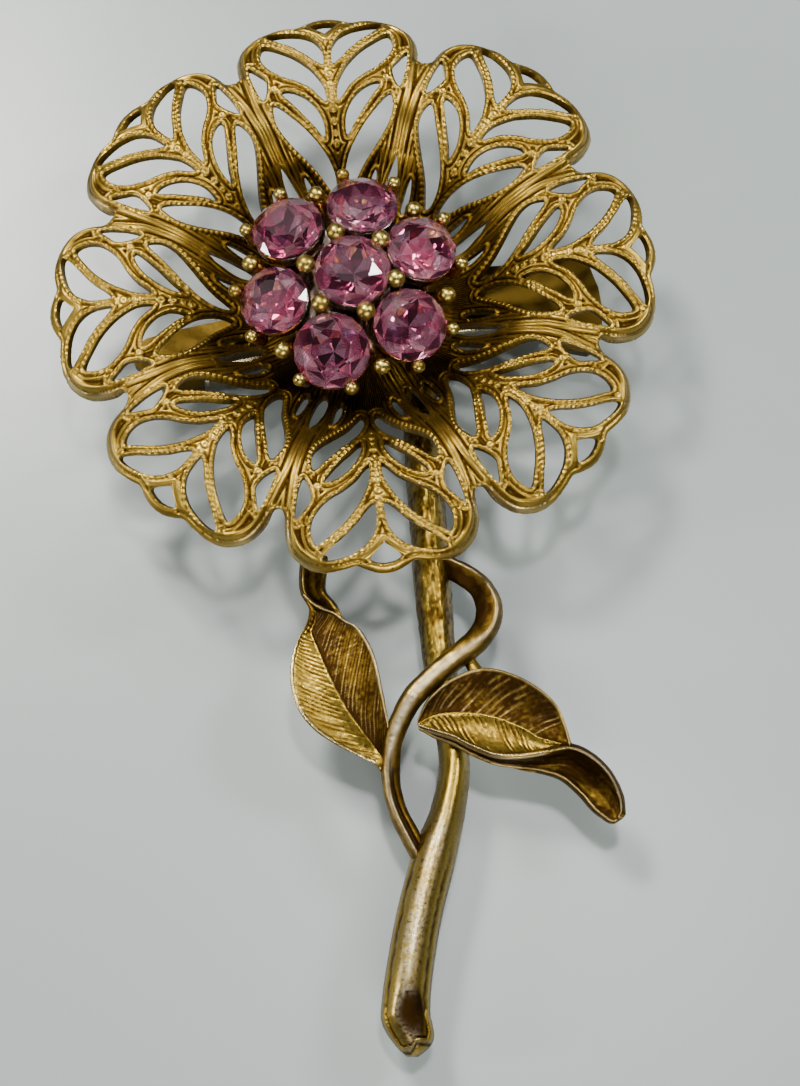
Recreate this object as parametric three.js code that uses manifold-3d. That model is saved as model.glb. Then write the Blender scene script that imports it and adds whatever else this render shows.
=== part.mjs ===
// A gold-tone openwork flower brooch: eight pierced heart petals, a seven-stone cluster on prongs,
// a stem with a wrapped tendril and two leaves, and a bar-mounted pin with a roll-over catch.
// Millimetres, +Z out of the flower's face, +Y from the stem end towards the flower.
import * as THREE from 'three';
import { mergeVertices } from 'three/addons/utils/BufferGeometryUtils.js';
import Module from 'manifold-3d';

const wasm = await Module();
wasm.setup();

const DEG = Math.PI / 180;

// Flower stamping
const PETALS = 8;
const FLOWER_TURN = 6.8 * DEG;
const SHEET = 0.9;
const RIM_EXTRA = 0.6;
const RIVET_HOLE_R = 1.15;
const FLOOR_R = 8.5;
// Height of the stamping's upper face against radius: a deep bowl, a crest and a rolled-down rim.
const PROFILE = [
  [0, -5.6], [8.5, -5.6], [9.5, -5.35], [10.5, -4.9], [11.3, -4.3], [12.2, -3.4], [13.2, -2.4],
  [14.2, -1.4], [15, -0.7], [16, -0.1], [17, 0.3], [18.5, 0.55], [20, 0.5], [21.5, 0.3],
  [23.1, 0], [24, -0.4], [24.9, -1.0], [25.3, -1.5], [26, -1.9],
];

// Stone cluster
const STONE_R = 3.05;
const TABLE_R = 1.65;
const CROWN_H = 1.05;
const GIRDLE_H = 0.14;
const PAVILION_H = 2.5;
const STONE_SIDES = 16;
const RING_R = 6.7;
const RING_Z = 1.0;
const RING_TILT = 16 * DEG;
const RING_START = 80 * DEG;
const CENTRE_Z = 2.1;

// Back bar, pin and catch
const BAR_TOP = -6.5;
const BAR_T = 1.0;
const BAR_BACK = BAR_TOP - BAR_T;
const PIN_Z = -10.5;
const PIN_TURN = 8.5 * DEG;
const PIN_Y0 = -1.45;
const HINGE_X = 16.7;
const CATCH_X = -15.6;

// ---------------------------------------------------------------- geometry helpers

function toManifold(geometry) {
  let g = geometry.clone();
  g.deleteAttribute('normal');
  g.deleteAttribute('uv');
  g = mergeVertices(g, 1e-5);
  const solid = new wasm.Manifold(new wasm.Mesh({
    numProp: 3,
    vertProperties: new Float32Array(g.attributes.position.array),
    triVerts: new Uint32Array(g.index.array),
  }));
  return solid;
}

function toGeometry(solid) {
  const mesh = solid.getMesh();
  const geometry = new THREE.BufferGeometry();
  const points = new Float32Array(mesh.numVert * 3);
  for (let i = 0; i < mesh.numVert; i += 1) {
    for (let k = 0; k < 3; k += 1) {
      points[3 * i + k] = mesh.vertProperties[mesh.numProp * i + k];
    }
  }
  geometry.setAttribute('position', new THREE.BufferAttribute(points, 3));
  geometry.setIndex(new THREE.BufferAttribute(new Uint32Array(mesh.triVerts), 1));
  return geometry;
}

function join(...geometries) {
  return toGeometry(wasm.Manifold.union(geometries.map(toManifold)));
}

function cut(geometry, ...tools) {
  const rest = toManifold(geometry).subtract(wasm.Manifold.union(tools.map(toManifold)));
  const bodies = rest.decompose().sort((a, b) => b.volume() - a.volume());
  return toGeometry(bodies[0]);
}

function indexed(points, triangles) {
  const geometry = new THREE.BufferGeometry();
  geometry.setAttribute('position', new THREE.Float32BufferAttribute(points.flat(), 3));
  let volume = 0;
  const [a, b, c] = [new THREE.Vector3(), new THREE.Vector3(), new THREE.Vector3()];
  for (const [i, j, k] of triangles) {
    a.fromArray(points[i]);
    b.fromArray(points[j]);
    c.fromArray(points[k]);
    volume += a.dot(b.cross(c));
  }
  const faces = volume > 0 ? triangles : triangles.map(([i, j, k]) => [i, k, j]);
  geometry.setIndex(faces.flat());
  return geometry;
}

// A closed body through a list of rings that all have the same number of points.
function loft(rings) {
  const n = rings[0].length;
  const points = rings.flat();
  const triangles = [];
  for (let s = 0; s + 1 < rings.length; s += 1) {
    for (let i = 0; i < n; i += 1) {
      const j = (i + 1) % n;
      const [p, q, r, t] = [s * n + i, s * n + j, (s + 1) * n + i, (s + 1) * n + j];
      triangles.push([p, q, t], [p, t, r]);
    }
  }
  const last = (rings.length - 1) * n;
  for (let i = 1; i + 1 < n; i += 1) {
    triangles.push([0, i + 1, i], [last, last + i, last + i + 1]);
  }
  return indexed(points, triangles);
}

// A thin sheet under rows of points that all have the same number of points across.
function sheet(rows, thickness) {
  const n = rows[0].length;
  const rings = rows.map((row) => [
    ...row,
    ...row.slice().reverse().map(([x, y, z]) => [x, y, z - thickness]),
  ]);
  const m = 2 * n;
  const triangles = [];
  for (let s = 0; s + 1 < rings.length; s += 1) {
    for (let i = 0; i < m; i += 1) {
      const j = (i + 1) % m;
      const [p, q, r, t] = [s * m + i, s * m + j, (s + 1) * m + i, (s + 1) * m + j];
      triangles.push([p, q, t], [p, t, r]);
    }
  }
  const last = (rings.length - 1) * m;
  for (let i = 0; i + 1 < n; i += 1) {
    const [a, b, c, d] = [i, i + 1, m - 2 - i, m - 1 - i];
    triangles.push([a, c, b], [a, d, c]);
    triangles.push([last + a, last + b, last + c], [last + a, last + c, last + d]);
  }
  return indexed(rings.flat(), triangles);
}

// Flat regions (outline and holes) that may share edges, given a height for the upper and lower face
// at every point; the walls stand on the edges that belong to one region only.
function pierced(regions, top, bottom) {
  const flat = [];
  const index = new Map();
  const place = (p) => {
    const key = `${p.x.toFixed(5)},${p.y.toFixed(5)}`;
    if (!index.has(key)) {
      index.set(key, flat.length);
      flat.push(p);
    }
    return index.get(key);
  };
  const faces = [];
  regions.forEach(({ contour, holes }) => {
    if (THREE.ShapeUtils.isClockWise(contour)) contour.reverse();
    holes.forEach((h) => {
      if (!THREE.ShapeUtils.isClockWise(h)) h.reverse();
    });
    const ids = [contour, ...holes].flat().map(place);
    THREE.ShapeUtils.triangulateShape(contour, holes).forEach((t) => {
      faces.push(t.map((i) => ids[i]));
    });
  });
  const count = flat.length;
  const points = [
    ...flat.map((p) => [p.x, p.y, top(p)]),
    ...flat.map((p) => [p.x, p.y, bottom(p)]),
  ];
  const edges = new Set(faces.flatMap(([i, j, k]) => [`${i},${j}`, `${j},${k}`, `${k},${i}`]));
  const triangles = [];
  for (const [i, j, k] of faces) {
    triangles.push([i, j, k], [count + i, count + k, count + j]);
    for (const [p, q] of [[i, j], [j, k], [k, i]]) {
      if (!edges.has(`${q},${p}`)) triangles.push([p, count + p, count + q], [p, count + q, q]);
    }
  }
  return indexed(points, triangles);
}

function plate(outline, zLow, zHigh, holes = []) {
  const contour = outline.map(([x, y]) => new THREE.Vector2(x, y));
  const inner = holes.map((h) => h.map(([x, y]) => new THREE.Vector2(x, y)));
  return pierced([{ contour, holes: inner }], () => zHigh, () => zLow);
}

function circle(cx, cy, r, n, phase = 0) {
  return Array.from({ length: n }, (_, i) => {
    const a = phase + (i * 2 * Math.PI) / n;
    return [cx + r * Math.cos(a), cy + r * Math.sin(a)];
  });
}

// A body of revolution about Z from [radius, height] pairs that close on the axis or on themselves.
function turned(profile, sides) {
  const pts = profile.map(([r, z]) => new THREE.Vector2(r, z));
  const g = new THREE.LatheGeometry(pts, sides);
  g.rotateX(Math.PI / 2);
  g.deleteAttribute('normal');
  g.deleteAttribute('uv');
  const merged = mergeVertices(g, 1e-5);
  const pos = merged.attributes.position;
  const points = Array.from({ length: pos.count }, (_, i) => [pos.getX(i), pos.getY(i), pos.getZ(i)]);
  const idx = Array.from(merged.index.array);
  const triangles = [];
  for (let i = 0; i < idx.length; i += 3) {
    const [a, b, c] = [idx[i], idx[i + 1], idx[i + 2]];
    if (a !== b && b !== c && a !== c) triangles.push([a, b, c]);
  }
  return indexed(points, triangles);
}

function interpolate(table, x) {
  let i = 0;
  while (i + 2 < table.length && x > table[i + 1][0]) i += 1;
  const [x0, y0] = table[i];
  const [x1, y1] = table[i + 1];
  const t = Math.min(Math.max((x - x0) / (x1 - x0), 0), 1);
  return y0 + t * (y1 - y0);
}

// ---------------------------------------------------------------- flower stamping

// One petal, right half, from the web to the loop over the notch; X across and Y outwards.
const RIM = [
  [8.12, 19.6], [7.78, 20.1], [7.9, 21.3], [7.85, 22.4], [7.4, 23.5], [6.3, 24.5], [5.0, 25.0],
  [3.6, 25.1], [2.3, 24.95], [1.6, 25.35], [0.8, 25.65],
];
const RIM_TOP = [0, 25.75];
const LOOP_HOLE = [[0, 23.5], [1.1, 24.4], [1.3, 24.75], [0, 25.15]];
const HALF_HOLES = [
  [[0.4, 20.3], [0.38, 21.5], [0.6, 22.4], [1.25, 23.35], [2.25, 24.0], [3.6, 24.35], [5.1, 24.2],
    [4.4, 23.5], [3.1, 22.6], [2.0, 21.7], [1.1, 20.75]],
  [[0.5, 16.9], [0.6, 18.2], [1.2, 19.5], [1.9, 20.5], [3.0, 21.6], [4.3, 22.5], [5.3, 23.0],
    [5.8, 22.1], [5.6, 21.1], [4.9, 20.2], [2.8, 18.9], [1.7, 18.1]],
  [[0.95, 14.3], [1.0, 15.4], [1.5, 16.4], [2.3, 17.3], [3.3, 17.9], [4.15, 18.0], [3.5, 16.9],
    [2.6, 15.9], [1.7, 14.95]],
  [[0.4, 10.9], [0.5, 11.9], [0.95, 12.95], [1.6, 13.85], [2.5, 14.75], [3.6, 15.75], [5.0, 16.8],
    [5.1, 15.7], [4.75, 14.8], [3.4, 13.3], [1.8, 11.8], [0.9, 10.6]],
  [[6.9, 20.8], [6.8, 19.8], [6.4, 18.5], [5.95, 17.5], [5.5, 18.3], [5.5, 19.5], [6.1, 20.2]],
  [[3.15, 11.6], [2.95, 10.6], [2.5, 9.4], [2.1, 9.1], [2.2, 10.3]],
];
// The slot between two petals, in [radius, half width] pairs along their shared line.
const SLOT = [[9.0, 0.12], [9.7, 0.45], [11.0, 0.5], [12.3, 0.3], [13.3, 0]];

function onPetal(k, x, y) {
  const axis = Math.PI / 2 + FLOWER_TURN - (k * 2 * Math.PI) / PETALS;
  return new THREE.Vector2(
    y * Math.cos(axis) + x * Math.sin(axis),
    y * Math.sin(axis) - x * Math.cos(axis),
  );
}

function flowerTop(p) {
  return interpolate(PROFILE, p.length());
}

function flowerBottom(p) {
  const t = Math.min(Math.max((p.length() - 23.4) / 1.4, 0), 1);
  return flowerTop(p) - SHEET - RIM_EXTRA * t;
}

function filigreeFlower() {
  const contour = [];
  const holes = [];
  for (let k = 0; k < PETALS; k += 1) {
    RIM.slice().reverse().forEach(([x, y]) => contour.push(onPetal(k, -x, y)));
    contour.splice(contour.length - RIM.length, RIM.length);
    RIM.forEach(([x, y]) => contour.push(onPetal(k, -x, y)));
    contour.push(onPetal(k, ...RIM_TOP));
    RIM.slice(1).reverse().forEach(([x, y]) => contour.push(onPetal(k, x, y)));
    const right = LOOP_HOLE.map(([x, y]) => onPetal(k, x, y));
    const left = [LOOP_HOLE[2], LOOP_HOLE[1]].map(([x, y]) => onPetal(k, -x, y));
    holes.push([...right, ...left]);
    HALF_HOLES.forEach((hole) => {
      holes.push(hole.map(([x, y]) => onPetal(k, x, y)));
      holes.push(hole.slice().reverse().map(([x, y]) => onPetal(k, -x, y)));
    });
    const out = SLOT.map(([r, w]) => onPetal(k + 0.5, w, r));
    const back = SLOT.slice(0, -1).reverse().map(([r, w]) => onPetal(k + 0.5, -w, r));
    holes.push([...out, ...back]);
  }
  const floor = () => circle(0, 0, FLOOR_R, 32).map(([x, y]) => new THREE.Vector2(x, y));
  const rivet = circle(0, 0, RIVET_HOLE_R, 16).map(([x, y]) => new THREE.Vector2(x, y));
  const regions = [
    { contour, holes: [...holes, floor()] },
    { contour: floor(), holes: [rivet] },
  ];
  return pierced(regions, flowerTop, flowerBottom);
}

// ---------------------------------------------------------------- stones and setting

function stone() {
  return turned([
    [0, CROWN_H + GIRDLE_H / 2],
    [TABLE_R, CROWN_H + GIRDLE_H / 2],
    [STONE_R, GIRDLE_H / 2],
    [STONE_R, -GIRDLE_H / 2],
    [0, -PAVILION_H - GIRDLE_H / 2],
  ].reverse(), STONE_SIDES);
}

// Where a ring stone sits: lean it outwards, then carry it out along its direction.
function seatMatrix(i) {
  if (i < 0) return new THREE.Matrix4().makeTranslation(0, 0, CENTRE_Z);
  const a = RING_START - (i * Math.PI) / 3;
  const m = new THREE.Matrix4().makeRotationZ(a);
  m.multiply(new THREE.Matrix4().makeTranslation(RING_R, 0, RING_Z));
  m.multiply(new THREE.Matrix4().makeRotationY(RING_TILT));
  return m;
}

function rod(from, to, radius, sides) {
  const a = new THREE.Vector3(...from);
  const b = new THREE.Vector3(...to);
  const length = a.distanceTo(b);
  const g = new THREE.CylinderGeometry(radius, radius, length, sides);
  const q = new THREE.Quaternion().setFromUnitVectors(
    new THREE.Vector3(0, 1, 0),
    b.clone().sub(a).normalize(),
  );
  g.applyQuaternion(q);
  g.translate(...a.add(b).multiplyScalar(0.5).toArray());
  return g;
}

function ballProng(top, foot, radius = 0.62) {
  const ball = new THREE.SphereGeometry(radius, 6, 4);
  ball.rotateX(Math.PI / 2);
  ball.translate(...top);
  return [ball, rod(foot, top, 0.32, 4)];
}

function prongSetting() {
  const dish = turned([
    [0, -5.6], [3.2, -5.6], [3.2, -4.6], [6.4, -2.6], [6.4, -1.7], [0, -1.7],
  ], 18);
  const cup = turned([[0, -3.2], [1.3, -3.2], [3.5, -0.22], [0, -0.22]], 12);
  const well = turned([[0, -2.95], [0.4, -2.95], [3.3, -0.35], [3.3, 0.5], [0, 0.5]], 12);
  const solids = [dish];
  const wells = [];
  for (let i = -1; i < 6; i += 1) {
    solids.push(cup.clone().applyMatrix4(seatMatrix(i)));
    wells.push(well.clone().applyMatrix4(seatMatrix(i)));
  }
  const base = cut(join(...solids), ...wells, turned([
    [0, -5.7], [1.05, -5.7], [1.05, -3.2], [0, -3.2],
  ], 16));
  const prongs = [];
  for (let i = 0; i < 6; i += 1) {
    const a = (110 - 60 * i) * DEG;
    const [c, s] = [Math.cos(a), Math.sin(a)];
    prongs.push(...ballProng([3.87 * c, 3.87 * s, 2.55], [3.87 * c, 3.87 * s, -2.2]));
    prongs.push(...ballProng([8.5 * c, 8.5 * s, 0.7], [5.9 * c, 5.9 * s, -2.2]));
    [-38, 38].forEach((side) => {
      const b = side * DEG;
      const p = new THREE.Vector3(3.68 * Math.cos(b), 3.68 * Math.sin(b), 0.5);
      const q = new THREE.Vector3(3.5 * Math.cos(b), 3.5 * Math.sin(b), -0.9);
      const m = seatMatrix(i);
      prongs.push(...ballProng(p.applyMatrix4(m).toArray(), q.applyMatrix4(m).toArray(), 0.56));
    });
  }
  return join(base, ...prongs);
}

// ---------------------------------------------------------------- stem, tendril and leaves

// Centre X, centre Y, width, front height and back height down the stem.
const STEM = [
  [5.25, 3.1, 3.0, -7.5, -8.7],
  [5.45, -2.3, 3.0, -7.5, -8.7],
  [5.5, -2.6, 3.0, -6.85, -8.7],
  [5.65, -8.2, 3.0, -6.75, -8.7],
  [5.75, -10.4, 3.1, -6.2, -9.0],
  [5.9, -13.5, 3.1, -5.6, -9.0],
  [6.27, -17.9, 3.2, -5.5, -9.0],
  [6.75, -24.5, 3.2, -5.6, -9.0],
  [7.33, -31.5, 2.8, -6.1, -9.0],
  [8.1, -36.5, 2.6, -6.3, -9.0],
  [8.55, -40.4, 2.6, -5.9, -9.0],
  [8.0, -44.2, 2.9, -5.5, -9.0],
  [6.9, -47.9, 3.6, -5.4, -9.0],
  [5.7, -52.6, 3.7, -5.4, -9.0],
  [4.9, -57.3, 3.8, -5.5, -9.0],
  [4.65, -60.6, 4.2, -5.9, -9.0],
  [4.9, -62.5, 3.8, -6.6, -9.0],
  [5.0, -63.7, 2.4, -7.4, -9.0],
];
const STEM_PINNED = [5.4, 0.95];

function stemBody(grow) {
  const rings = STEM.map(([x, y, w, front, back], i) => {
    const before = STEM[Math.max(i - 1, 0)];
    const after = STEM[Math.min(i + 1, STEM.length - 1)];
    const along = new THREE.Vector2(after[0] - before[0], after[1] - before[1]).normalize();
    const across = [-along.y, along.x];
    const half = w / 2 + grow;
    const h = front - back;
    const shape = [
      [-0.9, -grow], [-1, 0.25 * h], [-0.93, 0.62 * h + grow], [-0.62, 0.9 * h + grow],
      [0, h + grow], [0.62, 0.9 * h + grow], [0.93, 0.62 * h + grow], [1, 0.25 * h], [0.9, -grow],
    ];
    const flatTop = [
      [-0.9, -grow], [-1, 0.25 * h], [-1, 0.7 * h], [-0.95, h + grow], [0, h + grow],
      [0.95, h + grow], [1, 0.7 * h], [1, 0.25 * h], [0.9, -grow],
    ];
    return (i < 2 ? flatTop : shape).map(([u, z]) => [
      x + across[0] * u * half,
      y + across[1] * u * half,
      back + z,
    ]);
  });
  return loft(rings);
}

// Tendril centre line: X, Y, Z, width and depth.
const TENDRIL = [
  [8.0, -22.6, -6.6, 1.6, 1.8],
  [9.3, -23.9, -6.4, 1.6, 2.0],
  [10.8, -25.0, -5.9, 1.7, 2.2],
  [11.6, -26.6, -5.4, 1.8, 2.3],
  [11.6, -28.2, -5.0, 1.8, 2.2],
  [10.5, -29.9, -4.8, 1.6, 2.0],
  [9.2, -31.3, -4.7, 1.4, 1.9],
  [7.5, -32.8, -4.7, 1.4, 1.9],
  [5.9, -34.6, -4.9, 1.4, 1.9],
  [4.6, -36.8, -5.3, 1.4, 2.0],
  [3.8, -39.0, -5.7, 1.4, 2.1],
  [3.4, -41.2, -6.1, 1.4, 2.2],
  [3.5, -43.4, -6.5, 1.4, 2.2],
  [4.4, -45.6, -6.7, 1.4, 2.2],
  [5.6, -47.3, -6.8, 1.4, 2.0],
];

function tendrilBody(grow) {
  const rings = TENDRIL.map(([x, y, z, w, d], i) => {
    const before = TENDRIL[Math.max(i - 1, 0)];
    const after = TENDRIL[Math.min(i + 1, TENDRIL.length - 1)];
    const along = new THREE.Vector2(after[0] - before[0], after[1] - before[1]).normalize();
    const across = [-along.y, along.x];
    const [a, b] = [w / 2 + grow, d / 2 + grow];
    return [[1, -0.6], [1, 0.5], [0.5, 1], [-0.5, 1], [-1, 0.5], [-1, -0.6], [-0.5, -1], [0.5, -1]]
      .map(([u, v]) => [x + across[0] * u * a, y + across[1] * u * a, z + v * b]);
  });
  return loft(rings);
}

// Leaf surfaces as rows from base to tip: left edge, left field, midrib, right field, right edge.
const LEFT_LEAF = [
  [[2.5, -41.3, -5.9], [2.6, -40.9, -6.1], [2.8, -40.5, -6.2], [3.0, -40.0, -6.1], [3.2, -39.4, -5.9]],
  [[0.9, -40.1, -5.2], [1.4, -39.7, -5.7], [2.0, -39.2, -5.9], [2.6, -38.4, -5.6], [3.1, -37.4, -5.2]],
  [[-1.2, -38.9, -4.8], [-0.3, -38.4, -5.3], [0.9, -37.6, -5.7], [1.9, -36.6, -5.3], [2.8, -35.5, -4.8]],
  [[-3.1, -37.4, -4.6], [-1.8, -36.6, -5.1], [0, -35.7, -5.5], [1.3, -34.7, -5.1], [2.4, -33.8, -4.5]],
  [[-4.5, -35.2, -4.5], [-2.9, -34.5, -5.0], [-0.9, -33.6, -5.4], [0.7, -32.8, -4.9], [1.9, -32.2, -4.4]],
  [[-5.0, -33.0, -4.6], [-3.6, -32.5, -5.0], [-1.8, -31.8, -5.4], [-0.2, -31.1, -5.0], [1.0, -30.6, -4.5]],
  [[-4.5, -30.8, -4.9], [-3.7, -30.6, -5.2], [-2.6, -30.2, -5.5], [-1.3, -29.7, -5.1], [0, -29.2, -4.7]],
  [[-3.7, -29.1, -5.2], [-3.4, -28.9, -5.4], [-3.1, -28.7, -5.6], [-2.3, -28.5, -5.4], [-1.4, -28.2, -5.0]],
  [[-3.5, -27.6, -5.3], [-3.2, -27.6, -5.5], [-2.9, -27.5, -5.7], [-2.3, -27.4, -5.6], [-1.6, -27.2, -5.3]],
  [[-4.0, -26.2, -5.4], [-3.4, -26.2, -5.8], [-2.6, -26.2, -6.2], [-1.8, -26.1, -6.1], [-1.1, -26.0, -5.8]],
  [[-4.2, -24.4, -5.9], [-3.4, -24.5, -6.4], [-2.4, -24.6, -6.8], [-1.5, -24.6, -6.6], [-0.7, -24.7, -6.2]],
];
const RIGHT_LEAF = [
  [[5.3, -36.9, -5.0], [5.35, -37.1, -5.1], [5.4, -37.3, -5.2], [5.45, -37.5, -5.2], [5.5, -37.7, -5.1]],
  [[6.3, -35.7, -4.6], [6.5, -36.2, -4.9], [6.7, -36.8, -5.2], [6.8, -37.5, -5.1], [6.9, -38.2, -4.8]],
  [[7.7, -34.5, -4.3], [8.0, -35.5, -4.8], [8.4, -36.6, -5.2], [8.5, -37.8, -5.0], [8.6, -39.1, -4.6]],
  [[9.5, -33.6, -4.1], [9.8, -35.1, -4.7], [10.1, -36.7, -5.2], [10.2, -38.3, -4.9], [10.2, -40.0, -4.4]],
  [[11.5, -33.3, -4.0], [11.7, -35.0, -4.6], [11.9, -36.9, -5.1], [11.9, -38.7, -4.7], [11.8, -40.6, -4.3]],
  [[13.4, -33.5, -4.0], [13.6, -35.2, -4.6], [13.8, -37.1, -5.0], [13.6, -38.9, -4.7], [13.4, -40.8, -4.4]],
  [[15.2, -34.4, -4.1], [15.3, -35.9, -4.6], [15.4, -37.5, -4.9], [15.2, -39.0, -4.7], [14.9, -40.8, -4.7]],
  [[16.6, -36.0, -4.3], [16.7, -37.2, -4.6], [16.7, -38.3, -4.8], [16.5, -39.6, -4.8], [16.3, -41.2, -5.2]],
  [[17.7, -38.3, -4.5], [17.8, -39.1, -4.7], [17.8, -39.9, -4.9], [17.6, -40.8, -5.2], [17.5, -41.8, -5.7]],
  [[19.2, -39.8, -4.7], [19.2, -40.4, -4.9], [19.1, -41.1, -5.2], [18.9, -41.9, -5.6], [18.7, -42.8, -6.1]],
  [[20.8, -40.8, -5.1], [20.6, -41.4, -5.2], [20.4, -42.1, -5.5], [20.1, -42.9, -5.8], [19.7, -43.8, -6.2]],
  [[21.8, -42.5, -5.6], [21.5, -42.9, -5.7], [21.1, -43.4, -5.9], [20.7, -44.0, -6.1], [20.3, -44.7, -6.3]],
  [[22.0, -44.5, -6.1], [21.7, -44.7, -6.2], [21.4, -45.0, -6.3], [21.1, -45.2, -6.4], [20.8, -45.5, -6.5]],
];

// ---------------------------------------------------------------- back bar, pin and catch

const BAR = [
  [-19.1, -3.3], [-18.2, -2.7], [-15.1, -1.8], [-11.2, -0.9], [-6, 0.6], [-2, 2.0], [2, 2.8],
  [6, 3.6], [9, 4.0], [12.8, 4.2], [15.5, 4.7], [17.6, 5.2], [19.4, 5.0], [20.6, 4.0],
  [21.3, 2.0], [21.6, 0], [21.5, -2], [21.0, -3.6], [20.2, -4.1], [18, -3.7], [15.5, -2.2],
  [12.8, -0.9], [9, -0.8], [6, -1.2], [2, -2.2], [-2, -2.8], [-6, -3.3], [-11.2, -4.6],
  [-15, -5.4], [-18.2, -5.9], [-19.2, -5.2],
];

// The pin's own frame: X from catch to hinge, Z out of the face, origin on the pin's line.
const PIN_FRAME = new THREE.Matrix4()
  .makeTranslation(0, PIN_Y0, PIN_Z)
  .multiply(new THREE.Matrix4().makeRotationZ(PIN_TURN));

function box(x0, x1, y0, y1, z0, z1) {
  const g = new THREE.BoxGeometry(x1 - x0, y1 - y0, z1 - z0);
  g.translate((x0 + x1) / 2, (y0 + y1) / 2, (z0 + z1) / 2);
  return g;
}

function alongY(geometry) {
  return geometry.clone().rotateX(-Math.PI / 2);
}

function alongX(geometry) {
  return geometry.clone().rotateY(Math.PI / 2);
}

const MOUNT_Z = BAR_BACK - PIN_Z;

function hingeBracket() {
  const foot = box(-2.0, 1.8, -1.85, 1.85, MOUNT_Z - 0.6, MOUNT_Z);
  const ears = [];
  [-1, 1].forEach((side) => {
    const outline = [[-1.5, MOUNT_Z - 0.3], [-1.1, 0], [-0.8, -0.8], [0, -1.1], [0.8, -0.8],
      [1.1, 0], [1.5, MOUNT_Z - 0.3]];
    const ear = plate(outline, -0.35, 0.35);
    ear.rotateX(Math.PI / 2);
    ear.translate(0, side * 1.5, 0);
    ears.push(ear);
  });
  const bore = alongY(turned([[0, -3], [0.5, -3], [0.5, 3], [0, 3]], 16));
  return cut(join(foot, ...ears), bore).translate(HINGE_X, 0, 0);
}

function hingeRivet() {
  return alongY(turned([
    [0, -2.35], [0.6, -2.35], [0.75, -2.15], [0.75, -1.95], [0.42, -1.95], [0.42, 1.95],
    [0.75, 1.95], [0.75, 2.15], [0.6, 2.35], [0, 2.35],
  ], 16)).translate(HINGE_X, 0, 0);
}

function pinStem() {
  const barrel = alongY(turned([[0.65, -0.9], [1.05, -0.9], [1.05, 0.9], [0.65, 0.9], [0.65, -0.9]], 16));
  const wire = alongX(turned([
    [0, -33.6], [0.12, -33.4], [0.4, -31.2], [0.5, -29.6], [0.5, -0.85], [0, -0.85],
  ], 10));
  return join(barrel, wire).translate(HINGE_X, 0, 0);
}

function ringArc(inner, outer, half, from, to, steps) {
  const rim = [];
  for (let i = 0; i <= steps; i += 1) {
    const a = from + ((to - from) * i) / steps;
    rim.push([outer * Math.cos(a), outer * Math.sin(a)]);
  }
  for (let i = steps; i >= 0; i -= 1) {
    const a = from + ((to - from) * i) / steps;
    rim.push([inner * Math.cos(a), inner * Math.sin(a)]);
  }
  return alongX(plate(rim, -half, half));
}

// Angles below are measured in the section across the pin, from the side that faces away from the bar.
function catchBody() {
  const arc = ringArc(1.75, 2.3, 1.6, 75 * DEG, 285 * DEG, 18);
  const foot = box(-1.6, 1.6, -1.3, 1.3, 1.9, MOUNT_Z);
  return join(arc, foot).translate(CATCH_X, 0, 0);
}

function catchRoller() {
  const sleeve = alongX(turned([
    [0.75, -2.15], [2.05, -2.15], [2.05, -1.82], [1.43, -1.82], [1.43, 1.82], [2.05, 1.82],
    [2.05, 2.15], [0.75, 2.15], [0.75, -2.15],
  ], 24));
  const slot = box(-3, 3, -0.65, 0.65, -3, 0);
  const tab = box(-1.2, 1.2, -0.28, 0.28, -2.75, -1.1).rotateX(55 * DEG);
  return join(cut(sleeve, slot), tab).translate(CATCH_X, 0, 0);
}

// ---------------------------------------------------------------- assembly

const ANTIQUE_GOLD = { color: 0xa9823a, metalness: 1.0, roughness: 0.38 };
const PALE_GOLD = { color: 0xc8b071, metalness: 1.0, roughness: 0.3 };
const PINK_GLASS = { color: 0xb0487a, metalness: 0.0, roughness: 0.05 };
const PIN_STEEL = { color: 0xb5a98a, metalness: 1.0, roughness: 0.35 };

const brooch = new THREE.Group();
brooch.name = 'brooch';

function add(name, geometry, look) {
  const mesh = new THREE.Mesh(geometry, new THREE.MeshStandardMaterial(look));
  mesh.name = name;
  mesh.material.name = `${name}_finish`;
  brooch.add(mesh);
}

function inPinFrame(geometry) {
  return geometry.applyMatrix4(PIN_FRAME);
}

add('filigree_flower', filigreeFlower(), ANTIQUE_GOLD);
add('prong_setting', prongSetting(), PALE_GOLD);
add('stone_centre', stone().applyMatrix4(seatMatrix(-1)), PINK_GLASS);
for (let i = 0; i < 6; i += 1) {
  add(`stone_ring_${i + 1}`, stone().applyMatrix4(seatMatrix(i)), PINK_GLASS);
}
add('centre_rivet', turned([
  [0, -8.2], [1.1, -8.2], [1.7, -7.9], [1.7, BAR_BACK], [0.95, BAR_BACK], [0.95, -3.4], [0, -3.4],
], 16), PALE_GOLD);

const stemCutter = stemBody(0.05);
const tendrilCutter = tendrilBody(0.05);
const stemHole = turned([[0, -12], [0.8, -12], [0.8, -3], [0, -3]], 12)
  .translate(...STEM_PINNED, 0);
add('stem', cut(stemBody(0), stemHole), ANTIQUE_GOLD);
add('stem_rivet', turned([
  [0, -9.3], [0.7, -9.3], [1.15, -9.05], [1.15, -8.7], [0.65, -8.7], [0.65, BAR_TOP - 0.08],
  [0, BAR_TOP - 0.08],
], 12).translate(...STEM_PINNED, 0), PALE_GOLD);
add('tendril', cut(tendrilBody(0), stemCutter), ANTIQUE_GOLD);
add('leaf_left', cut(sheet(LEFT_LEAF, 0.6), stemCutter, tendrilCutter), ANTIQUE_GOLD);
add('leaf_right', cut(sheet(RIGHT_LEAF, 0.6), stemCutter, tendrilCutter), ANTIQUE_GOLD);
add('back_bar', plate(BAR, BAR_BACK, BAR_TOP, [
  circle(0, 0, 1.1, 16),
  circle(...STEM_PINNED, 0.8, 12),
]), ANTIQUE_GOLD);
add('hinge_bracket', inPinFrame(hingeBracket()), PALE_GOLD);
add('hinge_rivet', inPinFrame(hingeRivet()), PIN_STEEL);
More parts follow.
